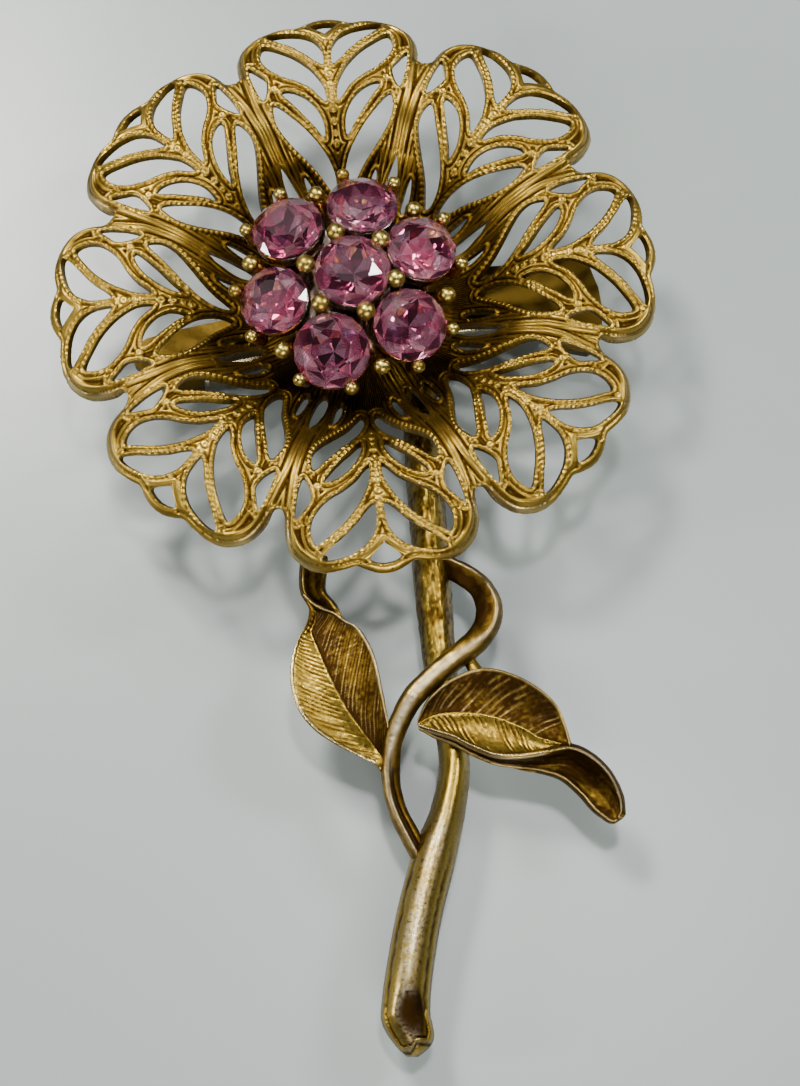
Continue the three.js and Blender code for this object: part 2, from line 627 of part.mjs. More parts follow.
add('pin_stem', inPinFrame(pinStem()), PIN_STEEL);
add('catch_body', inPinFrame(catchBody()), PALE_GOLD);
add('catch_roller', inPinFrame(catchRoller()), PALE_GOLD);

// Stand the lowest point on the ground with the plan centred on the origin.
brooch.updateMatrixWorld(true);
const bounds = new THREE.Box3().setFromObject(brooch, true);
const centre = bounds.getCenter(new THREE.Vector3());
const group = new THREE.Group();
group.name = 'flower_brooch';
group.add(brooch);
brooch.position.set(-centre.x, -centre.y, -bounds.min.z);

export default group;
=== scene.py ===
# An openwork flower brooch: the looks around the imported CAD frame. Lengths in the tables are millimetres.
import math

import bpy
import numpy as np
from mathutils import Matrix, Vector


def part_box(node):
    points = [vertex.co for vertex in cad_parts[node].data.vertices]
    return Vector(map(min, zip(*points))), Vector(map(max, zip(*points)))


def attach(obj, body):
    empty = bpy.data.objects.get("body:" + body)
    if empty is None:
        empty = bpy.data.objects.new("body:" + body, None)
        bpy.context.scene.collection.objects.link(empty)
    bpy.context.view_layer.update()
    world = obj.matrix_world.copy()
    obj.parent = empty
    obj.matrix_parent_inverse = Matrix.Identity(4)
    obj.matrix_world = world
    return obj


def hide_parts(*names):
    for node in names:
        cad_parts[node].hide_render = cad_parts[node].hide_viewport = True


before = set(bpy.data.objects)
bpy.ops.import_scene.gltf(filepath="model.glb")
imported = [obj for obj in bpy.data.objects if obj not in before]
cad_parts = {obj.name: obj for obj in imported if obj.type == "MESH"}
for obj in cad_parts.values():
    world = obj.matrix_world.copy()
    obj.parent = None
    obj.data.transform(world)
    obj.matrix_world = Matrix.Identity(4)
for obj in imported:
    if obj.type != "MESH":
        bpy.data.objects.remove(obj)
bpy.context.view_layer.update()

MM = 0.001

# The design origin is the flower's axis at the height of the petal notches.
rivet_low, rivet_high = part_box("centre_rivet")
bar_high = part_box("back_bar")[1]
BAR_TOP = -6.5
ORIGIN = np.array([
    (rivet_low.x + rivet_high.x) / 2,
    (rivet_low.y + rivet_high.y) / 2,
    bar_high.z - BAR_TOP * MM,
])


# ------------------------------------------------------------------ mesh helpers

def smoothstep(a, b, x):
    t = np.clip((np.asarray(x, float) - a) / (b - a), 0, 1)
    return t * t * (3 - 2 * t)


def lattice(ix, iy, iz, seed):
    """A repeatable value from 0 to 1 for each whole-number point."""
    n = (ix * 73856093) ^ (iy * 19349663) ^ (iz * 83492791) ^ (seed * 2654435761)
    n = (n ^ (n >> 13)) * 1274126177
    n = n ^ (n >> 16)
    return (n & 0xFFFFF) / float(0xFFFFF)


def value_noise(p, size, seed=0):
    """Smooth noise from -1 to 1 over points in millimetres, with features of the given size."""
    q = np.asarray(p, float) / size
    base = np.floor(q).astype(np.int64)
    f = q - base
    f = f * f * (3 - 2 * f)
    total = 0
    for dx in (0, 1):
        for dy in (0, 1):
            for dz in (0, 1):
                w = (
                    (f[:, 0] if dx else 1 - f[:, 0])
                    * (f[:, 1] if dy else 1 - f[:, 1])
                    * (f[:, 2] if dz else 1 - f[:, 2])
                )
                total = total + w * lattice(base[:, 0] + dx, base[:, 1] + dy, base[:, 2] + dz, seed)
    return 2 * total - 1


def spline(points, per=10, closed=False):
    """A smooth line through points, with `per` steps from one to the next."""
    p = np.asarray(points, float)
    n = len(p)
    if closed:
        before, after, after2 = np.roll(p, 1, 0), np.roll(p, -1, 0), np.roll(p, -2, 0)
        starts = range(n)
    else:
        before = np.vstack([2 * p[0] - p[1], p[:-1]])
        after = np.vstack([p[1:], 2 * p[-1] - p[-2]])
        after2 = np.vstack([p[2:], 2 * p[-1] - p[-2], 2 * p[-1] - p[-2]])
        starts = range(n - 1)
    t = (np.arange(per) / per)[:, None]
    out = []
    for i in starts:
        a, b, c, d = before[i], p[i], after[i], after2[i]
        out.append(0.5 * (
            2 * b + (c - a) * t + (2 * a - 5 * b + 4 * c - d) * t ** 2
            + (3 * b - a - 3 * c + d) * t ** 3
        ))
    if not closed:
        out.append(p[-1:])
    return np.vstack(out)


def in_scene(name, data):
    """A new object that shows the given mesh, light or camera."""
    obj = bpy.data.objects.new(name, data)
    bpy.context.scene.collection.objects.link(obj)
    return obj


def make(name, verts, faces, material, body="brooch", replaces=(),
         sharp=None, smooth=True, attributes=None, by_face=None):
    """A piece from points in design millimetres and faces by their number of corners, riding on
    a CAD body."""
    v = np.asarray(verts, float) * MM + ORIGIN
    mesh = bpy.data.meshes.new(name)
    loops = np.concatenate([np.asarray(f, np.int32).ravel() for f in faces.values()])
    sizes = np.concatenate([np.full(len(f), k, np.int32) for k, f in faces.items()])
    starts = np.concatenate([[0], np.cumsum(sizes)[:-1]]).astype(np.int32)
    mesh.vertices.add(len(v))
    mesh.vertices.foreach_set("co", v.astype(np.float32).ravel())
    mesh.loops.add(len(loops))
    mesh.loops.foreach_set("vertex_index", loops)
    mesh.polygons.add(len(sizes))
    mesh.polygons.foreach_set("loop_start", starts)
    mesh.update(calc_edges=True)
    mesh.validate()
    mesh.polygons.foreach_set("use_smooth", [smooth] * len(mesh.polygons))
    if sharp is not None and len(sharp):
        n = np.int64(len(v) + 1)
        keys = np.sort(np.asarray(sharp, np.int64), 1)
        wanted = np.unique(keys[:, 0] * n + keys[:, 1])
        edges = np.zeros(len(mesh.edges) * 2, np.int32)
        mesh.edges.foreach_get("vertices", edges)
        edges = np.sort(edges.reshape(-1, 2).astype(np.int64), 1)
        mark = np.isin(edges[:, 0] * n + edges[:, 1], wanted)
        flag = mesh.attributes.new("sharp_edge", "BOOLEAN", "EDGE")
        flag.data.foreach_set("value", mark)
    for domain, table in (("POINT", attributes), ("FACE", by_face)):
        for key, values in (table or {}).items():
            a = mesh.attributes.new(key, "FLOAT", domain)
            a.data.foreach_set("value", np.asarray(values, np.float32))
    piece = in_scene(name, mesh)
    mesh.materials.append(material)
    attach(piece, body)
    if replaces:
        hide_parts(*replaces)
    return piece


def grid_faces(rows, cols, wrap_rows=False, wrap_cols=False):
    """Quads over a rows x cols grid of points numbered row by row."""
    r = np.arange(rows if wrap_rows else rows - 1)
    c = np.arange(cols if wrap_cols else cols - 1)
    rr, cc = np.meshgrid(r, c, indexing="ij")
    r2, c2 = (rr + 1) % rows, (cc + 1) % cols
    return np.stack(
        [rr * cols + cc, rr * cols + c2, r2 * cols + c2, r2 * cols + cc], -1
    ).reshape(-1, 4)


def facing_out(verts, quads):
    """The quads turned so that a closed body's normals point outwards."""
    v = np.asarray(verts, float)
    a, b, c, d = (v[quads[:, k]] for k in range(4))
    volume = np.einsum("ij,ij->i", a, np.cross(b, c)).sum()
    volume += np.einsum("ij,ij->i", a, np.cross(c, d)).sum()
    return quads if volume > 0 else quads[:, ::-1]


def ring_loft(rings):
    """A closed body through rings of equal size, its ends drawn in to their middles."""
    rings = np.asarray(rings, float)
    n, m = rings.shape[:2]
    verts = rings.reshape(-1, 3)
    quads = grid_faces(n, m, wrap_cols=True)
    verts = np.vstack([verts, rings[0].mean(0), rings[-1].mean(0)])
    i = np.arange(m)
    j = (i + 1) % m
    first = np.stack([i, np.full(m, n * m), j], 1)
    last = np.stack([(n - 1) * m + j, np.full(m, n * m + 1), (n - 1) * m + i], 1)
    v = verts
    volume = 0
    for f in (quads[:, [0, 1, 2]], quads[:, [0, 2, 3]], first, last):
        volume += np.einsum("ij,ij->i", v[f[:, 0]], np.cross(v[f[:, 1]], v[f[:, 2]])).sum()
    tris = np.vstack([first, last])
    if volume < 0:
        quads, tris = quads[:, ::-1], tris[:, ::-1]
    return verts, {4: quads, 3: tris}


def turned(profile, sides, closed=False):
    """A body of revolution about Z; an open profile starts and ends on the axis."""
    p = np.asarray(profile, float)
    a = np.arange(sides) * 2 * math.pi / sides
    if closed:
        ring = np.stack([
            np.outer(np.cos(a), p[:, 0]), np.outer(np.sin(a), p[:, 0]),
            np.broadcast_to(p[:, 1], (sides, len(p))),
        ], -1)
        verts = ring.reshape(-1, 3)
        quads = facing_out(verts, grid_faces(sides, len(p), True, True))
        return verts, {4: quads}
    rings = np.stack([
        np.outer(p[1:-1, 0], np.cos(a)), np.outer(p[1:-1, 0], np.sin(a)),
        np.broadcast_to(p[1:-1, 1][:, None], (len(p) - 2, sides)),
    ], -1)
    verts, faces = ring_loft(rings)
    verts[-2] = [0, 0, p[0, 1]]
    verts[-1] = [0, 0, p[-1, 1]]
    return verts, faces


def merged(parts):
    """One mesh from several (points, faces by size) pairs."""
    verts, by_size, start = [], {}, 0
    for v, faces in parts:
        verts.append(np.asarray(v, float))
        for k, f in faces.items():
            by_size.setdefault(k, []).append(np.asarray(f) + start)
        start += len(v)
    return np.vstack(verts), {k: np.vstack(f) for k, f in by_size.items()}


def moved(part, matrix):
    v, faces = part
    m = np.array(matrix, float)
    return np.asarray(v, float) @ m[:3, :3].T + m[:3, 3], faces


def rounded(profile, radius, steps=4):
    """The profile with each inner corner rounded off."""
    p = np.asarray(profile, float)
    out = [p[0]]
    for i in range(1, len(p) - 1):
        a, b, c = p[i - 1], p[i], p[i + 1]
        la, lc = np.linalg.norm(a - b), np.linalg.norm(c - b)
        r = min(radius, la * 0.45, lc * 0.45)
        s, e = b + (a - b) / la * r, b + (c - b) / lc * r
        for k in range(steps + 1):
            t = k / steps
            out.append((1 - t) ** 2 * s + 2 * t * (1 - t) * b + t ** 2 * e)
    out.append(p[-1])
    return np.array(out)


# ------------------------------------------------------------------ materials

def new_material(name):
    m = bpy.data.materials.new(name)
    m.use_nodes = True
    nodes, links = m.node_tree.nodes, m.node_tree.links
    shader = next(n for n in nodes if n.type == "BSDF_PRINCIPLED")
    return m, nodes, links, shader


def noise(nodes, links, scale, detail=3.0, rough=0.6, coords=None):
    n = nodes.new("ShaderNodeTexNoise")
    n.inputs["Scale"].default_value = scale
    n.inputs["Detail"].default_value = detail
    n.inputs["Roughness"].default_value = rough
    if coords is None:
        coords = nodes.new("ShaderNodeTexCoord").outputs["Object"]
    links.new(coords, n.inputs["Vector"])
    return n.outputs["Fac"]


def ramp(nodes, links, value, stops):
    r = nodes.new("ShaderNodeValToRGB")
    r.color_ramp.elements[0].position, r.color_ramp.elements[0].color = stops[0][0], stops[0][1]
    r.color_ramp.elements[1].position, r.color_ramp.elements[1].color = stops[-1][0], stops[-1][1]
    for pos, colour in stops[1:-1]:
        e = r.color_ramp.elements.new(pos)
        e.color = colour
    links.new(value, r.inputs["Fac"])
    return r.outputs["Color"]


def grey(v):
    return (v, v, v, 1)


def mixed(nodes, links, factor, a, b):
    m = nodes.new("ShaderNodeMix")
    m.data_type = "RGBA"
    for socket, value in ((m.inputs["Factor"], factor), (m.inputs["A"], a), (m.inputs["B"], b)):
        if isinstance(value, (tuple, float, int)):
            socket.default_value = value
        else:
            links.new(value, socket)
    return m.outputs["Result"]


def maths(nodes, links, op, a, b=None, clamp=False):
    n = nodes.new("ShaderNodeMath")
    n.operation = op
    n.use_clamp = clamp
    for i, value in enumerate((a, b)):
        if value is None:
            continue
        if isinstance(value, (float, int)):
            n.inputs[i].default_value = value
        else:
            links.new(value, n.inputs[i])
    return n.outputs[0]


def attribute(nodes, name):
    a = nodes.new("ShaderNodeAttribute")
    a.attribute_name = name
    return a.outputs["Fac"]


def antique_gold(name, bright=(0.72, 0.47, 0.135, 1), deep=(0.06, 0.026, 0.006, 1),
                 mid=(0.38, 0.215, 0.045, 1), rough=(0.2, 0.42), grain=3000, bump=0.18,
                 pale_wear_and_highlight=(0.66, 0.61, 0.52, 1)):
    """Gold plate with brown patina and painted shade where the patina-and-shade attribute is high, and pale
    worn metal and painted highlights where the wear-and-highlight attribute is high.
    """
    m, nodes, links, shader = new_material(name)
    coords = nodes.new("ShaderNodeTexCoord").outputs["Object"]
    blotch = noise(nodes, links, 220, 4, 0.6, coords)
    fine = noise(nodes, links, grain, 5, 0.65, coords)
    patina_and_shade = attribute(nodes, "patina_and_shade")
    wear_and_highlight = attribute(nodes, "wear_and_highlight")
    tone = mixed(nodes, links, ramp(nodes, links, blotch, [(0.35, grey(0)), (0.65, grey(1))]),
                 bright, tuple(0.82 * c for c in bright[:3]) + (1,))
    shift = maths(nodes, links, "MULTIPLY", maths(nodes, links, "SUBTRACT", fine, 0.5), 0.5)
    depth = maths(nodes, links, "ADD", patina_and_shade, shift, clamp=True)
    first = mixed(nodes, links, ramp(nodes, links, depth, [(0.12, grey(0)), (0.5, grey(1))]),
                  tone, mid)
    second = mixed(nodes, links, ramp(nodes, links, depth, [(0.45, grey(0)), (0.92, grey(1))]),
                   first, deep)
    wear_and_highlight_at = maths(nodes, links, "MULTIPLY", wear_and_highlight,
                    ramp(nodes, links, blotch, [(0.3, grey(0.35)), (0.6, grey(1))]))
    final = mixed(nodes, links, wear_and_highlight_at, second, pale_wear_and_highlight)
    links.new(final, shader.inputs["Base Color"])
    shader.inputs["Metallic"].default_value = 1.0
    base_rough = ramp(nodes, links, fine, [(0.3, grey(rough[0])), (0.75, grey(rough[1]))])
    rough_out = maths(nodes, links, "ADD", base_rough,
                      maths(nodes, links, "MULTIPLY", depth, 0.25), clamp=True)
    links.new(rough_out, shader.inputs["Roughness"])
    b = nodes.new("ShaderNodeBump")
    b.inputs["Strength"].default_value = bump
    b.inputs["Distance"].default_value = 0.00005
    links.new(fine, b.inputs["Height"])
    links.new(b.outputs["Normal"], shader.inputs["Normal"])
    return m


GOLD = antique_gold("antique_gold_filigree", bright=(0.34, 0.222, 0.037, 1), mid=(0.155, 0.088, 0.01, 1),
                    deep=(0.03, 0.014, 0.002, 1), pale_wear_and_highlight=(0.46, 0.4, 0.26, 1), rough=(0.25, 0.42))
CAST = antique_gold("antique_gold_cast", bright=(0.32, 0.216, 0.034, 1), mid=(0.135, 0.078, 0.009, 1),
                    deep=(0.022, 0.01, 0.002, 1), pale_wear_and_highlight=(0.6, 0.52, 0.35, 1), bump=0.45, rough=(0.2, 0.38))
PALE = antique_gold("pale_gold_beads", bright=(0.52, 0.42, 0.11, 1), mid=(0.26, 0.17, 0.03, 1),
                    deep=(0.06, 0.03, 0.005, 1), rough=(0.16, 0.34), bump=0.35)
# a darker, redder copy of the gold for the cups and dish under the stones: painted shade and reflection
SHADED_CUP_GOLD = antique_gold("cup_gold_painted_shade_and_reflection", bright=(0.42, 0.19, 0.035, 1), mid=(0.2, 0.075, 0.012, 1),
                       deep=(0.04, 0.014, 0.003, 1), pale_wear_and_highlight=(0.24, 0.225, 0.21, 1),
                       rough=(0.14, 0.28), bump=0.6)
# a dark copy of the gold for the back bar and its fittings under the flower: painted shade
SHADED_BAR_GOLD = antique_gold("bar_gold_painted_shade", bright=(0.066, 0.04, 0.006, 1), mid=(0.04, 0.022, 0.003, 1),
                       deep=(0.03, 0.014, 0.002, 1), rough=(0.4, 0.55), grain=2500, bump=0.12)
WIRE = antique_gold("pin_wire", bright=(0.52, 0.44, 0.27, 1), mid=(0.3, 0.22, 0.1, 1),
                    rough=(0.18, 0.34), bump=0.08)


def pink_glass():
    m, nodes, links, shader = new_material("pink_glass")
    # each facet's tint follows its glint, as painted reflections: dark violet and wine, pink, white and
    # orange
    tint = ramp(nodes, links, attribute(nodes, "glint"), [
        (0.0, (0.3, 0.22, 0.5, 1)), (0.07, (0.22, 0.09, 0.16, 1)), (0.5, (0.88, 0.46, 0.6, 1)),
        (0.85, (1.0, 0.93, 0.95, 1)), (1.0, (1.0, 0.8, 0.62, 1)),
    ])
    links.new(tint, shader.inputs["Base Color"])
    shader.inputs["Roughness"].default_value = 0.0
    shader.inputs["IOR"].default_value = 1.66
    shader.inputs["Transmission Weight"].default_value = 1.0
    return m


def foil():
    """The mirrored back of a stone, each facet painted its own depth of pink, as a painted reflection."""
    m, nodes, links, shader = new_material("stone_foil")
    colour = ramp(nodes, links, attribute(nodes, "glint"), [
        (0.0, (0.02, 0.001, 0.006, 1)), (0.3, (0.22, 0.025, 0.09, 1)), (0.58, (1.0, 0.38, 0.56, 1)),
        (1.0, (1.0, 0.95, 0.97, 1)),
    ])
    links.new(colour, shader.inputs["Base Color"])
    shader.inputs["Metallic"].default_value = 0.8
    shader.inputs["Roughness"].default_value = 0.07
    return m


GLASS = pink_glass()
FOIL = foil()


# ------------------------------------------------------------------ flower stamping

PETALS = 8
FLOWER_TURN = math.radians(6.8)
HALF_SECTOR = math.pi / PETALS
PROFILE = [
    (0, -5.6), (7.5, -5.6), (8.6, -5.55), (9.6, -5.25), (10.5, -4.85), (11.4, -4.15), (12.3, -3.3),
    (13.2, -2.4), (14.2, -1.45), (15.1, -0.7), (16.1, -0.1), (17.1, 0.27), (18.5, 0.5),
    (20.0, 0.48), (21.5, 0.3), (23.1, 0.0), (24.0, -0.3), (25.0, -0.75), (26.0, -1.35),
]
RIM = [
    (8.12, 19.6), (7.80, 20.1), (7.92, 21.3), (7.86, 22.4), (7.42, 23.5), (6.35, 24.5), (5.0, 25.02),
    (3.6, 25.1), (2.4, 24.98), (1.7, 25.28), (0.85, 25.62), (0, 25.75),
]
LOOP_HOLE = [(0, 23.5), (0.62, 23.98), (1.2, 24.5), (1.22, 24.8), (0.65, 25.05), (0, 25.15)]
HALF_HOLES = {
    "A": [(0.4, 20.3), (0.36, 21.5), (0.58, 22.4), (1.25, 23.35), (2.25, 24.0), (3.6, 24.35),
          (4.6, 24.4), (5.12, 24.15), (4.4, 23.5), (3.1, 22.6), (2.0, 21.7), (1.1, 20.75)],
    "B": [(0.48, 16.85), (0.6, 18.2), (1.2, 19.5), (1.9, 20.5), (3.0, 21.6), (4.3, 22.5),
          (5.2, 23.05), (5.62, 23.0), (5.83, 22.1), (5.62, 21.1), (4.95, 20.2), (4.0, 19.45),
          (2.8, 18.85), (1.7, 18.05), (0.95, 17.15)],
    "C": [(0.92, 14.25), (0.98, 15.3), (1.5, 16.4), (2.3, 17.3), (3.3, 17.92), (4.12, 18.05),
          (4.2, 17.7), (3.5, 16.9), (2.6, 15.9), (1.7, 14.95), (1.2, 14.3)],
    "D": [(0.4, 10.9), (0.48, 11.9), (0.92, 12.95), (1.6, 13.85), (2.5, 14.75), (3.6, 15.75),
          (4.5, 16.6), (5.02, 16.85), (5.15, 16.4), (5.08, 15.5), (4.72, 14.7), (4.1, 13.95),
          (3.35, 13.25), (2.5, 12.5), (1.8, 11.8), (1.1, 10.9), (0.7, 10.5)],
    "E": [(6.92, 20.85), (6.84, 19.9), (6.5, 18.6), (6.05, 17.5), (5.8, 17.45), (5.52, 18.3),
          (5.5, 19.4), (6.1, 20.15)],
    "I": [(3.15, 11.65), (3.0, 10.7), (2.6, 9.5), (2.2, 9.1), (2.05, 9.5), (2.35, 10.5),
          (2.8, 11.35)],
}
SLOT = [(8.9, 0.0), (9.1, 0.25), (9.8, 0.46), (11.0, 0.5), (12.2, 0.32), (12.9, 0.14), (13.3, 0.0)]
# The middle of the rim wire, from the notch over the lobe and down the petal's side to its root.
RIM_WIRE = [
    (0.05, 23.12), (0.85, 23.92), (1.9, 24.5), (3.3, 24.72), (4.8, 24.62), (6.05, 24.12),
    (6.98, 23.2), (7.42, 22.2), (7.45, 21.2), (7.32, 20.0), (7.02, 18.6), (6.68, 17.2),
    (6.22, 15.9), (5.72, 14.6), (5.25, 13.4), (4.75, 12.2), (4.15, 10.8), (3.5, 9.3), (2.9, 7.8),
    (2.2, 6.0),
]
SHEET = 0.55
SPREAD = 1.011
KNOTS = [(0.0, 18.35, 0.34, 0.2), (0.0, 15.2, 0.34, 0.2), (0.0, 23.05, 0.34, 0.14), (0.0, 20.05, 0.42, 0.1),
         (0.0, 17.2, 0.3, 0.12), (0.0, 16.2, 0.4, 0.1), (0.0, 14.4, 0.26, 0.12), (0.0, 12.9, 0.3, 0.1),
         (0.0, 19.25, 0.42, 0.16), (0.0, 17.75, 0.3, 0.14), (0.0, 16.75, 0.3, 0.13), (0.0, 21.0, 0.26, 0.1),
         (4.86, 18.35, 0.42, 0.26), (5.45, 23.72, 0.3, 0.16), (0.0, 13.7, 0.34, 0.16)]


def nearest(points, line, closed):
    """For each point: distance to the polyline, and how far along it the nearest place is."""
    a = line if closed else line[:-1]
    b = np.roll(line, -1, 0) if closed else line[1:]
    d = b - a
    length = np.linalg.norm(d, axis=1)
    along = np.concatenate([[0], np.cumsum(length)[:-1]])
    best = np.full(len(points), 1e9)
    place = np.zeros(len(points))
    for s in range(len(a)):
        v = points - a[s]
        t = np.clip((v @ d[s]) / max(length[s] ** 2, 1e-12), 0, 1)
        q = v - t[:, None] * d[s]
        e = q[:, 0] ** 2 + q[:, 1] ** 2
        nearer = e < best
        best[nearer] = e[nearer]
        place[nearer] = along[s] + t[nearer] * length[s]
    return np.sqrt(best), place


def inside(points, loop):
    a, b = loop, np.roll(loop, -1, 0)
    odd = np.zeros(len(points), bool)
    x, y = points[:, 0], points[:, 1]
    for (ax, ay), (bx, by) in zip(a, b):
        if ay == by:
            continue
        hit = (ay > y) != (by > y)
        odd ^= hit & (x < (bx - ax) * (y - ay) / (by - ay) + ax)
    return odd


def mirrored_over_sector(line):
    """The line in the neighbouring petal, mirrored over the line that the two petals share."""
    c, s = math.sin(HALF_SECTOR), math.cos(HALF_SECTOR)
    u = np.array([c, s])
    along = line @ u
    return 2 * along[:, None] * u - line


def ridge(u, centre, half):
    t = np.clip(1 - ((u - centre) / half) ** 2, 0, None)
    return np.sqrt(t)


def petal_field(x, y):
    """Over points of the right half of a petal: the signed distance to its edge (positive in metal),
    the relief height, the patina with painted shade towards the roots, the wear and how far the edge rolls
    back."""
    p = np.stack([x, y], 1)
    loops = {k: spline(v, 6, True) for k, v in HALF_HOLES.items()}
    flip = np.array([-1, 1])
    f = np.full(len(p), 1e9)
    relief = np.zeros(len(p))
    hole_distance = np.full(len(p), 1e9)
    hole_place = np.zeros(len(p))
    hole_id = np.zeros(len(p), int)
    slot = spline(
        [(w * math.cos(HALF_SECTOR) + r * math.sin(HALF_SECTOR),
          r * math.cos(HALF_SECTOR) - w * math.sin(HALF_SECTOR)) for r, w in SLOT], 6)
    slot = np.vstack([slot, mirrored_over_sector(slot)[::-1][1:-1]])
    top = spline(LOOP_HOLE, 6)
    top = np.vstack([top, (top * flip)[::-1][1:-1]])
    everything = []
    for number, (key, loop) in enumerate(sorted(loops.items())):
        everything += [(number, key, loop), (number, key, loop * flip)]
        if key in "BDEI":
            everything.append((number, key, mirrored_over_sector(loop)))
    everything += [(7, "F", top), (8, "G", slot)]
    for number, key, loop in everything:
        d, place = nearest(p, loop, True)
        signed = np.where(inside(p, loop), -d, d)
        f = np.minimum(f, signed)
        nearer = d < hole_distance
        hole_distance[nearer] = d[nearer]
        hole_place[nearer] = place[nearer]
        hole_id[nearer] = number
    rim = spline(RIM, 8)
    outline = np.vstack([rim, (rim * flip)[::-1][1:]])
    closed = np.vstack([outline, [[0, 0]]])
    both = np.vstack([mirrored_over_sector(rim)[::-1][:-1], outline])
    outer, _ = nearest(p, both, False)
    signed = np.where(inside(p, closed) | inside(p, mirrored_over_sector(closed)), outer, -outer)
    f = np.minimum(f, signed)

    # wires along every opening, then fainter ones inside the broad places
    d = np.clip(hole_distance, 0, None)
    s = hole_place
    r = np.hypot(x, y)
    beaded = (hole_id == 3) & (x > np.interp(y, [10.5, 12.5, 14.7, 16.8], [0.95, 2.0, 3.9, 4.9]))
    uneven = value_noise(np.stack([x, y, 0 * x], 1), 0.55, 7)
    twist = 0.5 + 0.5 * np.cos(2 * np.pi * (s + 0.55 * d) / 0.48 + 1.8 * uneven)
    bead = np.abs(np.cos(np.pi * s / 0.44)) ** 0.7
    lace = np.where(np.isin(hole_id, [1, 2, 3]), 0.085, 0.07) * (hole_id < 7) * ~beaded
    amp = 0.27 + lace * twist * (1 + uneven) + np.where(beaded, 0.1 * bead - 0.02, 0)
    half = np.where(beaded, 0.2 + 0.05 * bead, 0.21)
    relief = np.maximum(relief, amp * ridge(d, 0.19 + 0.03 * beaded, half))

    wire = spline(RIM_WIRE, 6)
    w1, _ = nearest(p, wire, False)
    w2, _ = nearest(p, mirrored_over_sector(wire), False)
    w = np.minimum(w1, w2)
    low = smoothstep(21.5, 19.5, y)
    side_band = w < 1.9
    for centre, height in ((0.62, 0.2), (0.98, 0.17), (1.36, 0.14)):
        relief = np.maximum(relief, height * ridge(w, centre, 0.17) * (y < 21.3))
    inner = ~side_band | (y > 21.3)
    relief = np.maximum(relief, 0.18 * ridge(d, 0.62, 0.17) * (hole_id != 7) * inner)
    lengthways = np.abs(((x / np.maximum(y, 1)) * 46 + 60) % 1 - 0.5)
    relief = np.maximum(relief, 0.15 * ridge(lengthways, 0, 0.3) * (r < 13.5) * (d > 0.45))
    broad = 0.36 + 0.05 * (1 - low)
    rim_h = (0.31 + 0.04 * (1 - low)) * ridge(w, 0, broad)
    groove = np.exp(-(w / 0.07) ** 2) * (0.12 * low + 0.05)
    relief = np.maximum(relief, rim_h - groove)
    lobe = smoothstep(19.3, 20.2, y)
    outer_wire = 0.27 * ridge(outer, 0.19, 0.19) * lobe
    relief = np.where(outer < 0.38, np.maximum(relief * (1 - 0.5 * lobe), outer_wire), relief)
    relief = relief - 0.15 * np.exp(-((outer - 0.43) / 0.075) ** 2) * lobe

    bar = np.minimum(ridge(outer, 0.3, 0.32), 1) * 0.28 * (y > 24.9) * (np.abs(x) < 1.9)
    relief = np.maximum(relief, bar)
    for kx, ky, kr, kh in KNOTS:
        q = np.hypot(x - kx, y - ky) / kr
        dome = kh * np.clip(1 - q ** 2, 0, 1) ** 0.5 - 0.1 * np.exp(-(q / 0.3) ** 2)
        relief = np.maximum(relief, np.where(q < 1, 0.12 + dome, 0))

    patina_and_shade = np.clip(1 - relief / 0.2, 0, 1) ** 1.1
    # painted shade towards the petal roots, standing in for the stones' shadow and the deep bowl
    root_shade = smoothstep(16.0, 10.0, r)
    patina_and_shade = np.clip(0.17 + 0.78 * patina_and_shade + 0.42 * root_shade, 0, 1)
    patina_and_shade = patina_and_shade + 3.0 * lace * (0.6 - twist) * ridge(d, 0.2, 0.22)
    web = smoothstep(0.42, 0.75, w) * (r > 16.5) * (hole_distance > 1.0)
    patina_and_shade = np.where(web > 0, patina_and_shade * (1 - 0.55 * web), patina_and_shade)
    wear_and_highlight = 0.55 * ridge(outer, 0.15, 0.22) * smoothstep(19.5, 21.5, y) * smoothstep(4.0, 7.0, x)
    roll = np.clip(1 - outer / 0.8, 0, 1) ** 1.6
    roll = roll * smoothstep(19.6, 20.8, y) * (0.25 + 0.75 * smoothstep(3.4, 6.2, x))
    return f, relief, np.clip(patina_and_shade, 0, 1), wear_and_highlight, roll


